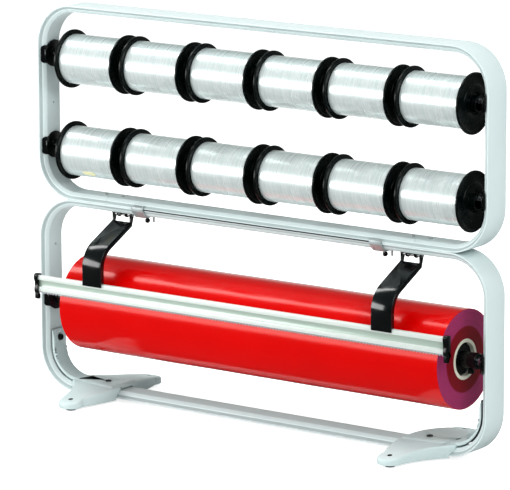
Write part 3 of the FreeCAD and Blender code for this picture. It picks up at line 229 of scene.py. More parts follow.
def shape(points, ring=False, loop=False, capped=False, spans=None):
    """Vertices, faces and UVs over a grid of points, rows by columns. A ring joins the last column
    to the first, a loop the last row to the first, and caps close the end rows of a ring. Faces
    are turned outwards by the sign of the volume, the sum of p0 . (p1 x p2) / 6 over triangles.
    UVs run along the columns and along the rows, over the spans given in metres."""
    grid = np.asarray(points, float)
    rows, cols = grid.shape[:2]
    i, j = np.meshgrid(np.arange(rows if loop else rows - 1), np.arange(cols if ring else cols - 1),
                       indexing="ij")

    def index(a, b):
        return (a % rows) * cols + b % cols

    quads = np.stack([index(i, j), index(i, j + 1), index(i + 1, j + 1), index(i + 1, j)], -1)
    quads = quads.reshape(-1, 4)
    wide, long = spans or (1.0, 1.0)
    u = np.stack([j, j + 1, j + 1, j], -1).reshape(-1, 4) / max(cols - (not ring), 1) * wide
    v = np.stack([i, i, i + 1, i + 1], -1).reshape(-1, 4) / max(rows - (not loop), 1) * long
    flat = grid.reshape(-1, 3)
    p = flat[quads]
    volume = (np.einsum("ij,ij->i", p[:, 0], np.cross(p[:, 1], p[:, 2])).sum()
              + np.einsum("ij,ij->i", p[:, 0], np.cross(p[:, 2], p[:, 3])).sum())
    faces, uvs = quads.tolist(), np.stack([u, v], -1).reshape(-1, 4, 2).tolist()
    if capped:
        for cap in (np.arange(cols)[::-1], np.arange(cols) + (rows - 1) * cols):
            c = flat[cap]
            volume += (np.cross(c[1:-1], c[2:]) @ c[0]).sum()
            faces.append(cap.tolist())
            uvs.append([[0.0, 0.0]] * cols)
    if volume < 0:
        faces = [face[::-1] for face in faces]
        uvs = [uv[::-1] for uv in uvs]
    return flat, faces, uvs


def joined(name, shapes):
    """One mesh of several shapes."""
    points, faces, count = [], [], 0
    for flat, own_faces, _ in shapes:
        points.append(flat)
        faces += [[k + count for k in face] for face in own_faces]
        count += len(flat)
    mesh = bpy.data.meshes.new(name)
    mesh.from_pydata(np.concatenate(points).tolist(), [], faces)
    return mesh


def finish_piece(name, mesh, material, body, nodes=(), sharp=CREASE):
    """An object of a mesh: smooth faces with a crease at each edge sharper than an angle, the
    material, and what the frame is told of it."""
    mesh.polygons.foreach_set("use_smooth", np.ones(len(mesh.polygons), bool))
    mesh.set_sharp_from_angle(angle=math.radians(sharp))
    mesh.materials.clear()
    mesh.materials.append(material)
    thing = bpy.data.objects.new(name, mesh)
    scene.collection.objects.link(thing)
    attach(thing, body)
    if nodes:
        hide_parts(*nodes)
    return thing


def piece(name, form, material, body, nodes=(), sharp=CREASE):
    """An object of one shape, riding on a body and standing for the nodes named."""
    mesh = joined(name, [form])
    layer = mesh.uv_layers.new(name="UVMap")
    layer.data.foreach_set("uv", np.array([x for uv in form[2] for xy in uv for x in xy], np.float32))
    return finish_piece(name, mesh, material, body, nodes, sharp)


def eased(corners, radius, steps=3):
    """A closed outline with eased corners: near each corner P the line is the quadratic curve
    (1-t)^2 A + 2t(1-t) P + t^2 B, with A and B at the radius along the two edges, but short of
    their middles."""
    p = np.asarray(corners, float)
    back, ahead = np.roll(p, 1, axis=0) - p, np.roll(p, -1, axis=0) - p
    behind, before = (np.linalg.norm(e, axis=1) for e in (back, ahead))
    r = np.minimum(np.broadcast_to(radius, len(p)), EASE_SHARE * np.minimum(behind, before))
    a = p + back * (r / behind)[:, None]
    b = p + ahead * (r / before)[:, None]
    t = np.linspace(0, 1, steps + 1)[None, :, None]
    curve = (1 - t) ** 2 * a[:, None] + 2 * t * (1 - t) * p[:, None] + t ** 2 * b[:, None]
    return curve.reshape(-1, p.shape[1])


def profile_section():
    """Outline (y, h) of the profile, h from its outer face inwards: a wide outer face, a short lip,
    sloping flanks with one broad shallow hollow each, and a narrower inner face. The hollow's
    corners are given by their reach up the flank and their depth under it."""
    top, foot = np.array([INNER_HALF, DEPTH]), np.array([OUTER_HALF, LIP])
    along = (top - foot) / np.linalg.norm(top - foot)
    inward = np.array([-along[1], along[0]])
    flank = [foot + along * reach + inward * sink for reach, sink in HOLLOW]
    half = [np.array([OUTER_HALF, 0.0]), foot, *flank, top]
    easing = [LIP_EASE, LIP_EASE, *[HOLLOW_EASE] * len(HOLLOW), INNER_EASE]
    other = [p * [-1, 1] for p in reversed(half)]
    return eased(half + other, np.array(easing + easing[::-1]))


def swept(section, stations):
    """The section (y, h) carried along stations (x, z, inward x, inward z, shrink): each point is the
    station plus h along its inward normal, and shrink draws the section in towards its middle."""
    s = np.asarray(stations, float)
    y = section[None, :, 0] * (1 - s[:, None, 4] / OUTER_HALF)
    h = DEPTH / 2 + (section[None, :, 1] - DEPTH / 2) * (1 - s[:, None, 4] / (DEPTH / 2))
    return np.stack([s[:, None, 0] + h * s[:, None, 2], y, s[:, None, 1] + h * s[:, None, 3]], -1)


def hoop_stations(level, seam, steps=28):
    """Stations round a hoop from its left seam to its right: ends, and four arcs of the bend."""
    reach = HALF_WIDTH - BEND
    arcs = []
    for x, z, start in ((-reach, level + BEND, 270), (-reach, level + HOOP_HEIGHT - BEND, 180),
                        (reach, level + HOOP_HEIGHT - BEND, 90), (reach, level + BEND, 0)):
        turn = np.radians(start - np.linspace(0, 90, steps + 1))
        out = np.stack([np.cos(turn), np.sin(turn)], -1)
        arcs.append(np.concatenate([np.array([x, z]) + BEND * out, -out, np.zeros((steps + 1, 1))], 1))
    left = [(-seam, level, 0, 1, SEAM_BEVEL), (-seam - SEAM_BEVEL, level, 0, 1, 0)]
    right = [(seam + SEAM_BEVEL, level, 0, 1, 0), (seam, level, 0, 1, SEAM_BEVEL)]
    return np.concatenate([left, *arcs, right])


def bar_stations(level, seam):
    """Stations of the straight bar between the seams, its two ends drawn in a little."""
    end = seam - SEAM_GAP
    return [(-end, level, 0, 1, SEAM_BEVEL), (-end + SEAM_BEVEL, level, 0, 1, 0),
            (end - SEAM_BEVEL, level, 0, 1, 0), (end, level, 0, 1, SEAM_BEVEL)]


def settle(thing):
    """The mesh that the object's modifiers make, kept in place of them."""
    bpy.context.view_layer.update()
    done = bpy.data.meshes.new_from_object(thing.evaluated_get(bpy.context.evaluated_depsgraph_get()))
    thing.modifiers.clear()
    thing.data = done


def drill(thing, holes, steps=32):
    """Round holes along X cut out of the object, each given as (x from, x to, y, z, radius)."""
    turn = np.linspace(0, 2 * math.pi, steps, endpoint=False)
    plugs = []
    for start, end, y, z, radius in holes:
        ends = [np.stack([np.full(steps, x), y + radius * np.cos(turn), z + radius * np.sin(turn)], -1)
                for x in (start, end)]
        plugs.append(shape(ends, ring=True, capped=True))
    tool = bpy.data.objects.new("drill", joined("drill", plugs))
    scene.collection.objects.link(tool)
    cut = thing.modifiers.new("holes", "BOOLEAN")
    cut.operation, cut.solver, cut.object = "DIFFERENCE", "EXACT", tool
    settle(thing)
    bpy.data.objects.remove(tool)
    thing.data.set_sharp_from_angle(angle=math.radians(CREASE))


def rgb(red, green, blue):
    """A screen colour, 0 to 255, as the linear colour that shaders take."""
    c = np.array([red, green, blue]) / 255
    linear = np.where(c <= 0.04045, c / 12.92, ((c + 0.055) / 1.055) ** 2.4)
    return (*(float(x) for x in linear), 1.0)


def patina_group():
    """Slow drift of a colour towards a tint and of the roughness between two values, and a fine
    grain as a height. The drift is noise at the patch scale, the grain noise at the grain scale."""
    group = bpy.data.node_groups.new("patina", "ShaderNodeTree")
    for name, kind, start in (("Vector", "Vector", None), ("Colour", "Color", WHITE),
                              ("Tint", "Color", WHITE), ("Patch", "Float", 10.0),
                              ("Amount", "Float", 0.5), ("Grain", "Float", 1000.0),
                              ("Low", "Float", 0.3), ("High", "Float", 0.4)):
        socket = group.interface.new_socket(name=name, in_out="INPUT", socket_type="NodeSocket" + kind)
        if start is not None:
            socket.default_value = start
    for name, kind in (("Colour", "Color"), ("Roughness", "Float"), ("Height", "Float")):
        group.interface.new_socket(name=name, in_out="OUTPUT", socket_type="NodeSocket" + kind)
    given = group.nodes.new("NodeGroupInput").outputs
    drift = add(group, "TexNoise", {"Vector": given["Vector"], "Scale": given["Patch"], "Detail": 4.0,
                                    "Roughness": 0.6}).outputs[0]
    centred = ramp(group, drift, 0.3, 0.7)
    share = reckoned(group, "MULTIPLY", centred, given["Amount"])
    grain = add(group, "TexNoise", {"Vector": given["Vector"], "Scale": given["Grain"], "Detail": 2.0})
    out = group.nodes.new("NodeGroupOutput")
    for name, source in (("Colour", mixed(group, share, given["Colour"], given["Tint"])),
                         ("Roughness", ramp(group, centred, low=given["Low"], high=given["High"])),
                         ("Height", grain.outputs[0])):
        group.links.new(source, out.inputs[name])
    return group


patina = patina_group()


def finish_of(name, colour, tint, rough, patch=14.0, amount=0.5, grain=2500.0, bump=0.04, depth=0.0002,
              metallic=0.0, specular=0.5):
    """A material of one substance: drifting colour and roughness, fine grain, and shader constants."""
    material, tree = new_material(name)
    mix = add(tree, "Group", node_tree=patina)
    for key, given in (("Colour", colour), ("Tint", tint), ("Patch", patch), ("Amount", amount),
                       ("Grain", grain), ("Low", rough[0]), ("High", rough[1])):
        mix.inputs[key].default_value = given
    tree.links.new(add(tree, "TexCoord").outputs["Object"], mix.inputs["Vector"])
    raised = add(tree, "Bump", {"Height": mix.outputs["Height"], "Strength": bump, "Distance": depth})
    shader = add(tree, "BsdfPrincipled", {"Base Color": mix.outputs["Colour"],
                                          "Roughness": mix.outputs["Roughness"],
                                          "Normal": raised.outputs[0], "Metallic": metallic,
                                          "Specular IOR Level": specular})
    add(tree, "OutputMaterial", {"Surface": shader.outputs[0]})
    return material


def paint_over(tree, mask, colour):
    """Lays a colour over a material's own colour, where the mask is 1."""
    base = tree.nodes["Principled BSDF"].inputs["Base Color"]
    tree.links.new(mixed(tree, mask, base.links[0].from_socket, colour), base)


frame_paint = finish_of("frame_paint", rgb(212, 225, 225), rgb(203, 217, 217), (0.34, 0.46), patch=9,
                        grain=1400, bump=0.12, depth=0.0004)
coat = frame_paint.node_tree
section = profile_section()

# shade is painted into the hollows as a greyer colour, found by their place across the section
HOLLOW_COLUMN, SHADE_WITHIN, CLEAR_FROM, HOLLOW_PAINTED_SHADE = 12, 0.6, 2.4, rgb(176, 190, 190)
across = add(coat, "SeparateXYZ", {0: add(coat, "UVMap").outputs[0]}).outputs["X"]
column = reckoned(coat, "MULTIPLY_ADD", across, float(len(section)), 0.5 - len(section) / 2)
off_hollow = reckoned(coat, "SUBTRACT", reckoned(coat, "ABSOLUTE", column), float(HOLLOW_COLUMN))
columns_off = reckoned(coat, "ABSOLUTE", off_hollow)
paint_over(coat, ramp(coat, columns_off, SHADE_WITHIN, CLEAR_FROM, 1.0, 0.0), HOLLOW_PAINTED_SHADE)

# between the two clamps the frames stand a hair apart, and the shade in the slit along their lips is
# painted on as a dark line
SLIT_HALF, SLIT_REACH, SLIT_PAINTED_SHADE = 0.0012, 0.236, rgb(12, 15, 15)
spot = add(coat, "SeparateXYZ", {0: add(coat, "TexCoord").outputs["Object"]}).outputs
between_lips = reckoned(coat, "COMPARE", spot["Z"], UPPER_LEVEL, SLIT_HALF)
between_clamps = reckoned(coat, "COMPARE", spot["X"], 0.0, SLIT_REACH)
paint_over(coat, reckoned(coat, "MULTIPLY", between_lips, between_clamps), SLIT_PAINTED_SHADE)

# a spare hole on the inner side of each upright: midway between the ribbon rods, and above the
# paper rod
UPPER_SPARE, LOWER_SPARE = 0.48925, 0.249
FRAMES = {"upper": (UPPER_LEVEL, UPPER_SEAM, UPPER_SPARE), "lower": (LOWER_LEVEL, LOWER_SEAM, LOWER_SPARE)}
SPARE_RADIUS, DRILL_FROM, DRILL_PAST = 0.0021, 0.004, 0.01
for name, (level, seam, hole_level) in FRAMES.items():
    run = shape(swept(section, hoop_stations(level, seam)), ring=True, capped=True)
    hoop = piece(f"{name}_hoop_skin", run, frame_paint, "frame", [f"{name}_frame_hoop"])
    drill(hoop, [(side * (HALF_WIDTH - DRILL_FROM), side * (HALF_WIDTH - DEPTH - DRILL_PAST), 0,
                  hole_level, SPARE_RADIUS) for side in (-1, 1)])
for name, (level, seam, _) in FRAMES.items():
    run = shape(swept(section, bar_stations(level, seam)), ring=True, capped=True)
    piece(f"{name}_bar_skin", run, frame_paint, "frame", [f"{name}_frame_bar"])


def dress(node, material):
    """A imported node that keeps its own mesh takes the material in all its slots."""
    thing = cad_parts[node]
    if not thing.material_slots:
        thing.data.materials.append(material)
    for each in thing.material_slots:
        each.material = material


zinc = finish_of("zinc_plate", rgb(196, 200, 202), rgb(170, 172, 168), (0.22, 0.4), patch=120, amount=0.7,
                 metallic=0.9)
dress("frame_joiners", zinc)
dress("frame_screws", zinc)

# ---------------------------------------------------------------- cast feet
# Two identical castings, turned about: a crowned plate with two wings, a channel over the frame and
# a spine up the inside of the bend. Pale grey paint over a grainy skin, with shade painted near black
# into the tip bores and onto the spine's back, in the gap against the frame.

TIP_HOLE, TIP_BORE = (0.319, 0.105, 0), (0.0039, 0.0042)
BEND_MIDDLE = (HALF_WIDTH - BEND, 0, LOWER_LEVEL + BEND)
SPINE_BACK, BACK_FROM, BACK_LOWEST = 0.0547, 0.008, 0.03
EDGE_ANGLE, EDGE_CREASE = 28, 50
MERGE, FLAT = 2e-6, 0.6
BORE_AND_GAP_SHADE = rgb(10, 12, 12)


def softened(name, node, width, material, body, steps=2):
    """A piece from a copy of a node's solid: loose triangles merged, flat faces joined up, and the
    edges rounded by a bevel of the given width."""
    form = bmesh.new()
    form.from_mesh(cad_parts[node].data)
    bmesh.ops.remove_doubles(form, verts=form.verts, dist=MERGE)
    bmesh.ops.dissolve_limit(form, angle_limit=math.radians(FLAT), verts=form.verts, edges=form.edges)
    mesh = bpy.data.meshes.new(name)
    form.to_mesh(mesh)
    form.free()
    thing = bpy.data.objects.new(name, mesh)
    scene.collection.objects.link(thing)
    round_off = thing.modifiers.new("edges", "BEVEL")
    round_off.width, round_off.segments = width, steps
    round_off.limit_method, round_off.angle_limit = "ANGLE", math.radians(EDGE_ANGLE)
    round_off.use_clamp_overlap = False
    round_off.miter_outer = "MITER_ARC"
    settle(thing)
    mesh = thing.data
    bpy.data.objects.remove(thing)
    finish_piece(name, mesh, material, body, [node], EDGE_CREASE)


def reach_from(tree, quarter, middle, keep):
    """How far the place is from a middle along the axes that are kept, where the place is given in
    the quarter with x and y positive."""
    offset = vectored(tree, "SUBTRACT", quarter, middle)
    return vectored(tree, "LENGTH", vectored(tree, "MULTIPLY", offset, keep))


casting = finish_of("casting_paint", rgb(202, 218, 218), rgb(190, 208, 208), (0.3, 0.42), patch=22,
                    grain=700, bump=0.22, depth=0.0006)
skin = casting.node_tree
quarter = vectored(skin, "ABSOLUTE", add(skin, "TexCoord").outputs["Object"])
apart = add(skin, "SeparateXYZ", {0: quarter}).outputs
# the shade inside the tip bores is painted near black
bore = ramp(skin, reach_from(skin, quarter, TIP_HOLE, (1, 1, 0)), *TIP_BORE, 1.0, 0.0)

# the spine's back is the part of it nearest the frame, round the bend and up the straight; the shade
# of the gap between it and the frame is painted on it near black
upright = reckoned(skin, "GREATER_THAN", apart["X"], BEND_MIDDLE[0] + SPINE_BACK)
round_bend = reckoned(skin, "GREATER_THAN", reach_from(skin, quarter, BEND_MIDDLE, (1, 0, 1)), SPINE_BACK)
under_bend = reckoned(skin, "LESS_THAN", apart["Z"], BEND_MIDDLE[2])
back = reckoned(skin, "MAXIMUM", reckoned(skin, "MULTIPLY", round_bend, under_bend), upright)
past_middle = reckoned(skin, "GREATER_THAN", apart["X"], BEND_MIDDLE[0] + BACK_FROM)
above_plate = reckoned(skin, "GREATER_THAN", apart["Z"], BACK_LOWEST)
shaded_spine_back = reckoned(skin, "MULTIPLY", reckoned(skin, "MULTIPLY", back, past_middle), above_plate)
paint_over(skin, reckoned(skin, "MAXIMUM", bore, shaded_spine_back), BORE_AND_GAP_SHADE)
for word in ("left", "right"):
    softened(f"{word}_foot", f"foot_{word}", 0.0008, casting, "frame")

rubber = finish_of("rubber", rgb(24, 25, 26), rgb(38, 39, 40), (0.7, 0.85), patch=90, grain=1200,
                   bump=0.2)
dress("foot_pads", rubber)
black_oxide = finish_of("black_oxide", rgb(10, 11, 12), rgb(20, 21, 22), (0.3, 0.42), patch=150,
                        metallic=0.4)
softened("foot_bolt_heads", "foot_bolts", 0.0003, black_oxide, "frame")

# ---------------------------------------------------------------- clamps between the frames
# Two steel strips, each bent round both profiles where they meet. A screw from below draws each one
# tight, and ends in a black moulded ball.

BALL_X, BALL_Z = 0.237, 0.3105
BALL, SHANK, SHANK_TOP = 0.0043, 0.0018, 0.0103
AXIS_THIN, POLE_SHORT = 0.0002, 0.02

strip_steel = finish_of("clamp_strip", rgb(184, 194, 194), rgb(160, 168, 170), (0.25, 0.4), patch=60,
                        metallic=0.45)
softened("clamp_strips", "clamp_brackets", 0.0004, strip_steel, "frame")
black_plastic = finish_of("black_plastic", rgb(3, 5, 6), rgb(7, 10, 11), (0.2, 0.3), patch=60, grain=1800,
                          bump=0.05, specular=0.35)


def turned(outline, centre, steps=96, axis="x"):
    """The shape of a closed outline (along, radius) carried round an axis through the centre: each
    row is the outline at one angle, at radius (cos, sin) from the axis."""
    p = np.asarray(outline, float)
    turn = np.linspace(0, 2 * math.pi, steps, endpoint=False)[:, None]
    along = np.broadcast_to(p[None, :, 0], (steps, len(p)))
    first, second = p[None, :, 1] * np.cos(turn), p[None, :, 1] * np.sin(turn)
    order = {"x": (along, first, second), "z": (first, second, along)}[axis]
    return shape(np.stack(order, -1) + np.asarray(centre, float), ring=True, loop=True)


def ball_outline(steps=18):
    """Outline of the ball on its screw: the ball's arc, radius (sin, cos), from its foot up to the
    screw, then the screw, and back down just beside the axis."""
    angle = np.linspace(-math.pi / 2 + POLE_SHORT, math.acos(SHANK / BALL), steps)
    arc = np.stack([BALL * np.sin(angle), BALL * np.cos(angle)], -1)
    return np.concatenate([arc, [(SHANK_TOP, SHANK), (SHANK_TOP, AXIS_THIN)], [(-BALL, AXIS_THIN)]])


for side, word in ((-1, "left"), (1, "right")):
    ball = turned(ball_outline(), (side * BALL_X, 0, BALL_Z), steps=40, axis="z")
    piece(f"{word}_clamp_ball", ball, black_plastic, f"clamp_knob_{word}",
          [f"clamp_knob_{word}"])

# ---------------------------------------------------------------- rod holders and rods
# Moulded black holders clip over the uprights by two claws each. A boss on each one takes the end of
# a steel rod: two rods for the ribbon rows, and a thicker one for the paper.

for level in ("upper", "middle", "paper"):
    for word in ("left", "right"):
        softened(f"{level}_holder_{word}", f"{level}_rod_holder_{word}", 0.0012, black_plastic, "frame",
                 steps=3)

rod_steel = finish_of("rod_steel", rgb(190, 194, 198), rgb(160, 164, 168), (0.18, 0.3), patch=40,
                      metallic=0.95)
for rod in ("upper_ribbon_rod", "lower_ribbon_rod", "paper_rod"):
    dress(rod, rod_steel)

# ---------------------------------------------------------------- ribbon spools
# Twelve spools moulded in black plastic: two flanges with stepped faces, a barrel between them and
# a short tube at each end that keeps neighbours apart.

PITCH, SHIFT = 0.1355, 0.0059
ROWS = {"upper": 0.566, "lower": 0.4125}
REELS = [(row, number, (SHIFT + (number - 3.5) * PITCH, 0, level))
         for row, level in ROWS.items() for number in range(1, 7)]
TUBE_END, TUBE, BORE = 0.06745, 0.0133, 0.0113
WELL_FACE, RING_FACE, DISH_FACE, RIM_FACE, INNER_FACE = 0.0560, 0.0588, 0.0580, 0.0590, 0.0550
WELL, RING, RIM, FLANGE, BARREL, RISER = 0.0185, 0.0300, 0.0440, 0.0486, 0.0180, 0.0004


def spool_outline():
    """Half section (x, radius) of a spool, closed: bore, tube, the well round it, a raised ring, a
    dish, the rim, and back down the flange's inner face to the barrel, then the same turned about.
    Each corner is eased by a few tenths of a millimetre."""
    right = [(TUBE_END, BORE), (TUBE_END, TUBE), (WELL_FACE, TUBE), (WELL_FACE, WELL), (RING_FACE, WELL),
             (RING_FACE, RING), (DISH_FACE, RING + RISER), (DISH_FACE, RIM - RISER), (RIM_FACE, RIM),
             (RIM_FACE, FLANGE), (INNER_FACE, FLANGE), (INNER_FACE, BARREL)]
    left = [(-x, r) for x, r in reversed(right)]
    easing = np.array([3, 6, 6, 6, 4, 3, 3, 3, 3, 9, 9, 6]) * 1e-4
    return eased(right + left, np.concatenate([easing, easing[::-1]]))


spool_black = finish_of("spool_plastic", rgb(1, 4, 4), rgb(6, 16, 14), (0.2, 0.34), patch=45, grain=1500,
                        bump=0.05, depth=0.0003, specular=0.16)
for row, number, centre in REELS:
    piece(f"{row}_spool_{number}_moulding", turned(spool_outline(), centre), spool_black,
          f"{row}_reel_{number}", [f"{row}_spool_{number}"])

# ---------------------------------------------------------------- ribbon windings
# Pale silver curling ribbon, wound on each barrel between the flanges in fine, slightly uneven
# turns. A scrap of pale yellow tape holds down its end on the first lower spool.

WOUND, WOUND_HALF, INSIDE = 0.0415, 0.0547, 0.0183
SKIN_UNDER = 0.0002
TURN_PITCH, SHINGLE = 0.0034, 0.00005
SWELL, SWELL_WAVES = 0.00003, 60
END_WIDE, END_DROP = 0.0012, 0.0006
LINES_LEAN = 0.035


def winding(centre, seed, across=132, around=80):
    """Closed grid of a winding. The outside is at the wound radius less a shingle step, which grows
    as the cube of the place within each turn pitch along a helix, less a slow swell of a few sines
    in x, and less a quarter round at the ends."""
    dice = np.random.default_rng(seed)
    x = np.linspace(-WOUND_HALF, WOUND_HALF, across)
    turn = np.linspace(0, 2 * math.pi, around, endpoint=False)[:, None]
    lean = dice.uniform(0, 1)
    phase = (x[None, :] / TURN_PITCH + turn / (2 * math.pi) + lean) % 1.0
    step = SHINGLE * phase ** 3
    swell = sum(dice.uniform(0.2, 1) * np.sin(x[None, :] * k * SWELL_WAVES + dice.uniform(0, 6.28)
                                                + turn * (k % 2)) for k in range(1, 6)) * SWELL
    end = np.minimum((WOUND_HALF - np.abs(x)) / END_WIDE, 1.0)[None, :]
    rounded = END_DROP * (1 - np.sqrt(np.clip(end * (2 - end), 0, 1)))
    radius = WOUND - SKIN_UNDER - step - swell - rounded
    inner_x = np.array([WOUND_HALF, -WOUND_HALF])
    xs = np.broadcast_to(np.concatenate([x, inner_x])[None, :], (around, across + 2))
    rs = np.concatenate([radius, np.full((around, 2), INSIDE)], 1)
    return np.stack([xs, rs * np.cos(turn), rs * np.sin(turn)], -1) + np.asarray(centre, float)


def ribbon_material():
    """Satin metallic ribbon. Leaning lines of noise drawn out round the winding darken and raise it,
    and broader bands drift in tone and in gloss."""
    material, tree = new_material("curling_ribbon")
    flat = add(tree, "UVMap").outputs[0]
    leaning = add(tree, "Mapping", {"Vector": flat, "Rotation": (0, 0, LINES_LEAN)}).outputs[0]
    drawn = add(tree, "Mapping", {"Vector": leaning, "Scale": (1500, 7, 1)}).outputs[0]
    broad = add(tree, "Mapping", {"Vector": leaning, "Scale": (220, 3, 1)}).outputs[0]
    lines = add(tree, "TexNoise", {"Vector": drawn, "Scale": 1.0, "Detail": 3.0,
                                   "Roughness": 0.7}).outputs[0]
    bands = add(tree, "TexNoise", {"Vector": broad, "Scale": 1.0, "Detail": 3.0}).outputs[0]
    gloss = ramp(tree, bands, 0.3, 0.7, 0.25, 0.36)
    silver = mixed(tree, ramp(tree, bands, 0.35, 0.65), rgb(233, 241, 240), rgb(214, 226, 224))
    tone = mixed(tree, ramp(tree, lines, 0.55, 0.7, high=0.85), silver, rgb(132, 150, 148))
    raised = add(tree, "Bump", {"Height": lines, "Strength": 0.05, "Distance": 0.0002})
    shader = add(tree, "BsdfPrincipled", {"Base Color": tone, "Roughness": gloss, "Metallic": 0.4,
                                          "Normal": raised.outputs[0]})
    add(tree, "OutputMaterial", {"Surface": shader.outputs[0]})
    return material


curling_ribbon = ribbon_material()
LOWER_SEED = 10
unrolled = (2 * WOUND_HALF, 2 * math.pi * WOUND)
for row, number, centre in REELS:
    seed = number + (LOWER_SEED if row == "lower" else 0)
    form = shape(winding(centre, seed), ring=True, loop=True, spans=unrolled)
    piece(f"{row}_winding_{number}", form, curling_ribbon, f"{row}_reel_{number}",
          [f"{row}_ribbon_{number}"], sharp=60)

TAPE_FROM, TAPE_TO, TAPE_LOW, TAPE_HIGH = -0.348, -0.324, math.radians(-54), math.radians(-40)
TAPE_OVER, TAPE_SUNK = 0.00005, 0.0008
TAPE_CORNER, TAPE_DRAWN_IN = 0.0015, 0.03


def tape_scrap():
    """Closed grid of a curved patch: the outside just over the wound radius, the inside sunk in the
    winding, its corners eased by drawing the ends of the arc in."""
    x = np.linspace(TAPE_FROM, TAPE_TO, 13)
    ends = np.clip(np.minimum(x - TAPE_FROM, TAPE_TO - x) / TAPE_CORNER, 0, 1)
    inset = TAPE_DRAWN_IN * (1 - np.sqrt(ends * (2 - ends)))
    along = np.linspace(0, 1, 9)[:, None]
    turn = (TAPE_LOW + inset) * (1 - along) + (TAPE_HIGH - inset) * along
    turns = np.concatenate([turn, turn[::-1]])
    rs = np.concatenate([np.full_like(turn, WOUND + TAPE_OVER), np.full_like(turn, WOUND - TAPE_SUNK)])
    xs = np.broadcast_to(x[None, :], turns.shape)
    return np.stack([xs, -rs * np.cos(turns), ROWS["lower"] + rs * np.sin(turns)], -1).transpose(1, 0, 2)


tape = finish_of("tape", rgb(240, 236, 190), rgb(226, 220, 168), (0.3, 0.45), patch=120, grain=1500)
piece("tape_scrap", shape(tape_scrap(), ring=True, capped=True), tape, "lower_reel_1")

# ---------------------------------------------------------------- wrapping paper roll
# Glossy red paper with a plum back, wound on a card core. The cut end shows its layers as rings,
# and near the core they are darker.

AXIS, ROLL_SEED = 0.1606, 7
ROLL_LEFT, ROLL_RIGHT = -0.361, 0.389
ROLL_RADIUS, CORE_OUT, CORE_IN, CORE_EASE = 0.080, 0.0326, 0.0270, 0.0005
SKIN_DROP, RIM_DROP, CORE_PLAY = 0.0003, 0.0008, 0.0001
ROLL_SWELL, RAGGED = 0.00012, 0.00045
OUTSIDE_FROM, OUTSIDE_TO = 0.0790, 0.0794
PLUM_FROM, PLUM_TO = 0.0518, 0.0534
LAYERS_PER_METRE = 900.0
GREYED = 0.8


def roll_grid(around=160, across=60, rings=36):
    """Closed grid of the roll, at angle t round it: the outside swells and dips along its length as
    sin(21 x + 1.3 cos t) + 0.6 sin(47 x + 2 t), and each end is uneven by a fraction of a
    millimetre from layer to layer."""
    dice = np.random.default_rng(ROLL_SEED)
    turn = np.linspace(0, 2 * math.pi, around, endpoint=False)[:, None]
    x = np.linspace(ROLL_LEFT, ROLL_RIGHT, across)
    swell = ROLL_SWELL * (np.sin(x[None, :] * 21 + 1.3 * np.cos(turn))
                          + 0.6 * np.sin(x[None, :] * 47 + turn * 2))
    outside = ROLL_RADIUS - SKIN_DROP + swell
    r = np.linspace(ROLL_RADIUS - RIM_DROP, CORE_OUT + CORE_PLAY, rings)
    ragged = dice.uniform(0, RAGGED, rings)
    xs = np.concatenate([x, ROLL_RIGHT - ragged, ROLL_LEFT + ragged[::-1]])
    rs = np.concatenate([outside, *(np.broadcast_to(end, (around, rings)) for end in (r, r[::-1]))], 1)
    xs = np.broadcast_to(xs[None, :], rs.shape)
    return np.stack([xs, rs * np.cos(turn), AXIS + rs * np.sin(turn)], -1)


def paper_material():
    """Red gloss on the outside; on the cut ends, rings by the distance from the axis: maroon inside
    and plum outside, with fine lighter and darker layers. The light it throws on its neighbours is
    greyed, so that the pale frame stays neutral under it."""
    material, tree = new_material("wrapping_paper")
    where = add(tree, "TexCoord").outputs["Object"]
    apart = add(tree, "SeparateXYZ", {0: where}).outputs
    up = reckoned(tree, "SUBTRACT", apart["Z"], AXIS)
    radius = vectored(tree, "LENGTH", add(tree, "CombineXYZ", {"Y": apart["Y"], "Z": up}).outputs[0])
    outside = ramp(tree, radius, OUTSIDE_FROM, OUTSIDE_TO)

    wobble = add(tree, "TexNoise", {"Vector": where, "Scale": 25.0}).outputs[0]
    depth = reckoned(tree, "ADD", reckoned(tree, "MULTIPLY", radius, LAYERS_PER_METRE), wobble)
    layers = add(tree, "TexNoise", {"W": depth, "Scale": 1.0, "Detail": 3.0},
                 noise_dimensions="1D").outputs[0]
    maroon = mixed(tree, layers, rgb(84, 0, 6), rgb(134, 0, 26))
    plum = mixed(tree, layers, rgb(112, 6, 58), rgb(172, 56, 110))
    cut_end = mixed(tree, ramp(tree, radius, PLUM_FROM, PLUM_TO), maroon, plum)
    drift = add(tree, "TexNoise", {"Vector": where, "Scale": 6.0, "Detail": 3.0}).outputs[0]
    colour = mixed(tree, outside, cut_end, mixed(tree, drift, rgb(216, 0, 0), rgb(192, 0, 0)))
    thrown = reckoned(tree, "MULTIPLY", add(tree, "LightPath").outputs["Is Diffuse Ray"], GREYED)
    colour = mixed(tree, thrown, colour, rgb(170, 170, 170))

    creases = add(tree, "Mapping", {"Vector": where, "Scale": (7, 30, 30)}).outputs[0]
    ripple = add(tree, "TexNoise", {"Vector": creases, "Scale": 1.0, "Detail": 3.0}).outputs[0]
    height = add(tree, "Mix", {0: outside, 2: layers, 3: ripple}, data_type="FLOAT").outputs[0]
    raised = add(tree, "Bump", {"Height": height, "Strength": 0.12, "Distance": 0.0008})
    gloss = ramp(tree, outside, low=0.55, high=0.16)
    shader = add(tree, "BsdfPrincipled", {"Base Color": colour, "Roughness": gloss,
                                          "Normal": raised.outputs[0], "Specular IOR Level": 0.4,
                                          "Specular Tint": (1.0, 0.38, 0.34, 1)})
    add(tree, "OutputMaterial", {"Surface": shader.outputs[0]})
    return material


wrapping_paper = paper_material()
piece("paper_winding", shape(roll_grid(), ring=True, loop=True), wrapping_paper, "paper_reel",
      ["paper_roll"], sharp=60)

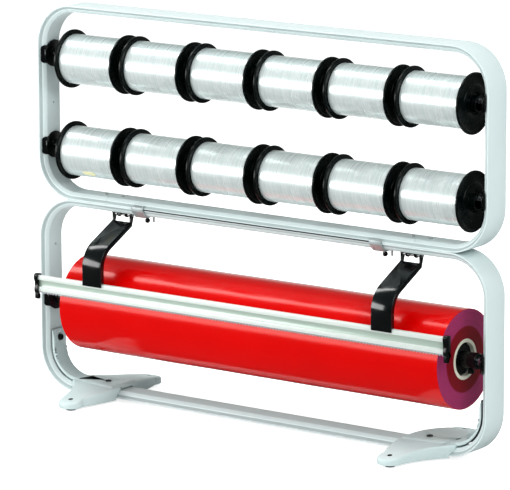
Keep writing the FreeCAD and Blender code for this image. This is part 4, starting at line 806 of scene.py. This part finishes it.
card = finish_of("core_card", rgb(214, 212, 196), rgb(186, 184, 160), (0.7, 0.85), patch=70, grain=900,
                 bump=0.25)
core_section = eased([(ROLL_LEFT, CORE_IN), (ROLL_RIGHT, CORE_IN), (ROLL_RIGHT, CORE_OUT),
                      (ROLL_LEFT, CORE_OUT)], CORE_EASE)
piece("core_tube", turned(core_section, (0, 0, AXIS)), card, "paper_reel", ["paper_core"])

# ---------------------------------------------------------------- hubs and thumb screws
# A black moulded hub plugs each end of the core. Its collar slides on the rod and is clamped to it
# by a thumb screw.

COLLAR, COLLAR_END, HUB_BORE = 0.013, 0.026, 0.0071
PLUG, PLUG_IN, PLUG_FACE = 0.0267, 0.033, 0.008
COLLAR_BEVEL, DISH, DISH_RISE, DISH_STEP, HUB_EASE = 0.0012, 0.0238, 0.0006, 0.0014, 0.0006


def hub_outline():
    """Half section (outwards from the roll's end, radius) of a hub: bore, bevelled collar, dished
    face and plug, corners eased."""
    corners = [(-PLUG_IN, HUB_BORE), (COLLAR_END, HUB_BORE), (COLLAR_END, COLLAR - COLLAR_BEVEL),
               (COLLAR_END - COLLAR_BEVEL, COLLAR), (-PLUG_FACE, COLLAR), (-PLUG_FACE, DISH),
               (-PLUG_FACE + DISH_STEP, DISH + DISH_RISE), (-PLUG_FACE + DISH_STEP, PLUG),
               (-PLUG_IN, PLUG)]
    return eased(corners, HUB_EASE)


for side, word, end in ((-1, "left", ROLL_LEFT), (1, "right", ROLL_RIGHT)):
    hub = turned(hub_outline() * [side, 1], (end, 0, AXIS), steps=64)
    piece(f"{word}_hub_moulding", hub, black_plastic, "paper_reel", [f"paper_hub_{word}"])
    softened(f"{word}_thumb_screw", f"hub_screw_{word}", 0.0003, black_oxide, f"hub_screw_{word}")

# ---------------------------------------------------------------- cutter arms
# Two arms pressed from sheet steel into a channel and lacquered gloss black. Each hangs by a zinc
# plated pin from a bracket under the frame, and a screw holds the bar to its lower end.

lacquer = finish_of("arm_lacquer", rgb(3, 5, 6), rgb(6, 9, 10), (0.13, 0.19), patch=30, grain=600,
                    bump=0.03, depth=0.0003)
for word in ("left", "right"):
    softened(f"{word}_arm_pressing", f"cutter_arm_{word}", 0.0006, lacquer, "cutter")
softened("hinge_brackets", "arm_brackets", 0.0004, lacquer, "frame")
dress("hinge_pins", zinc)
softened("arm_screw_heads", "arm_screws", 0.0003, zinc, "cutter")

# ---------------------------------------------------------------- cutter bar, blade and end caps
# An anodised aluminium extrusion with a hollow band along its face, a toothed steel strip pushed
# into its lower edge, and a moulded cap on each end.

# the hollow band is greener and darker: its green tint, with the recess's shade painted in
BAND_FROM, BAND_TO, BAND_EDGE = 0.1928, 0.2047, 0.0015
BAND_TINT_AND_SHADE = rgb(188, 205, 193)


def brushed(name, colour, tint, rough, stretch, banded=False):
    """Metal drawn along X: noise squeezed along the bar tints it, roughens it and raises it. On the
    bar the colour goes over to a greener, darker tone between the two heights of its hollow band: a
    green tint of the anodising, with the recess's shade painted in."""
    material, tree = new_material(name)
    where = add(tree, "TexCoord").outputs["Object"]
    drawn = add(tree, "Mapping", {"Vector": where, "Scale": stretch}).outputs[0]
    lines = add(tree, "TexNoise", {"Vector": drawn, "Scale": 1.0, "Detail": 4.0,
                                   "Roughness": 0.65}).outputs[0]
    base = mixed(tree, lines, colour, tint)
    if banded:
        level = add(tree, "SeparateXYZ", {0: where}).outputs["Z"]
        above = ramp(tree, level, BAND_FROM, BAND_FROM + BAND_EDGE)
        below = ramp(tree, level, BAND_TO - BAND_EDGE, BAND_TO, 1.0, 0.0)
        base = mixed(tree, reckoned(tree, "MULTIPLY", above, below), base, BAND_TINT_AND_SHADE)
    raised = add(tree, "Bump", {"Height": lines, "Strength": 0.06, "Distance": 0.0002})
    gloss = ramp(tree, lines, low=rough[0], high=rough[1])
    shader = add(tree, "BsdfPrincipled", {"Base Color": base, "Roughness": gloss, "Metallic": 0.3,
                                          "Normal": raised.outputs[0]})
    add(tree, "OutputMaterial", {"Surface": shader.outputs[0]})
    return material


bar_metal = brushed("anodised_bar", rgb(238, 244, 240), rgb(226, 234, 228), (0.3, 0.4), (8, 900, 900),
                    banded=True)
blade_metal = brushed("blade_steel", rgb(198, 202, 204), rgb(176, 180, 184), (0.18, 0.3), (30, 900, 900))
softened("bar_extrusion", "cutter_bar", 0.0002, bar_metal, "cutter")
dress("tear_blade", blade_metal)
softened("bar_caps", "bar_end_caps", 0.0009, black_plastic, "cutter", steps=3)
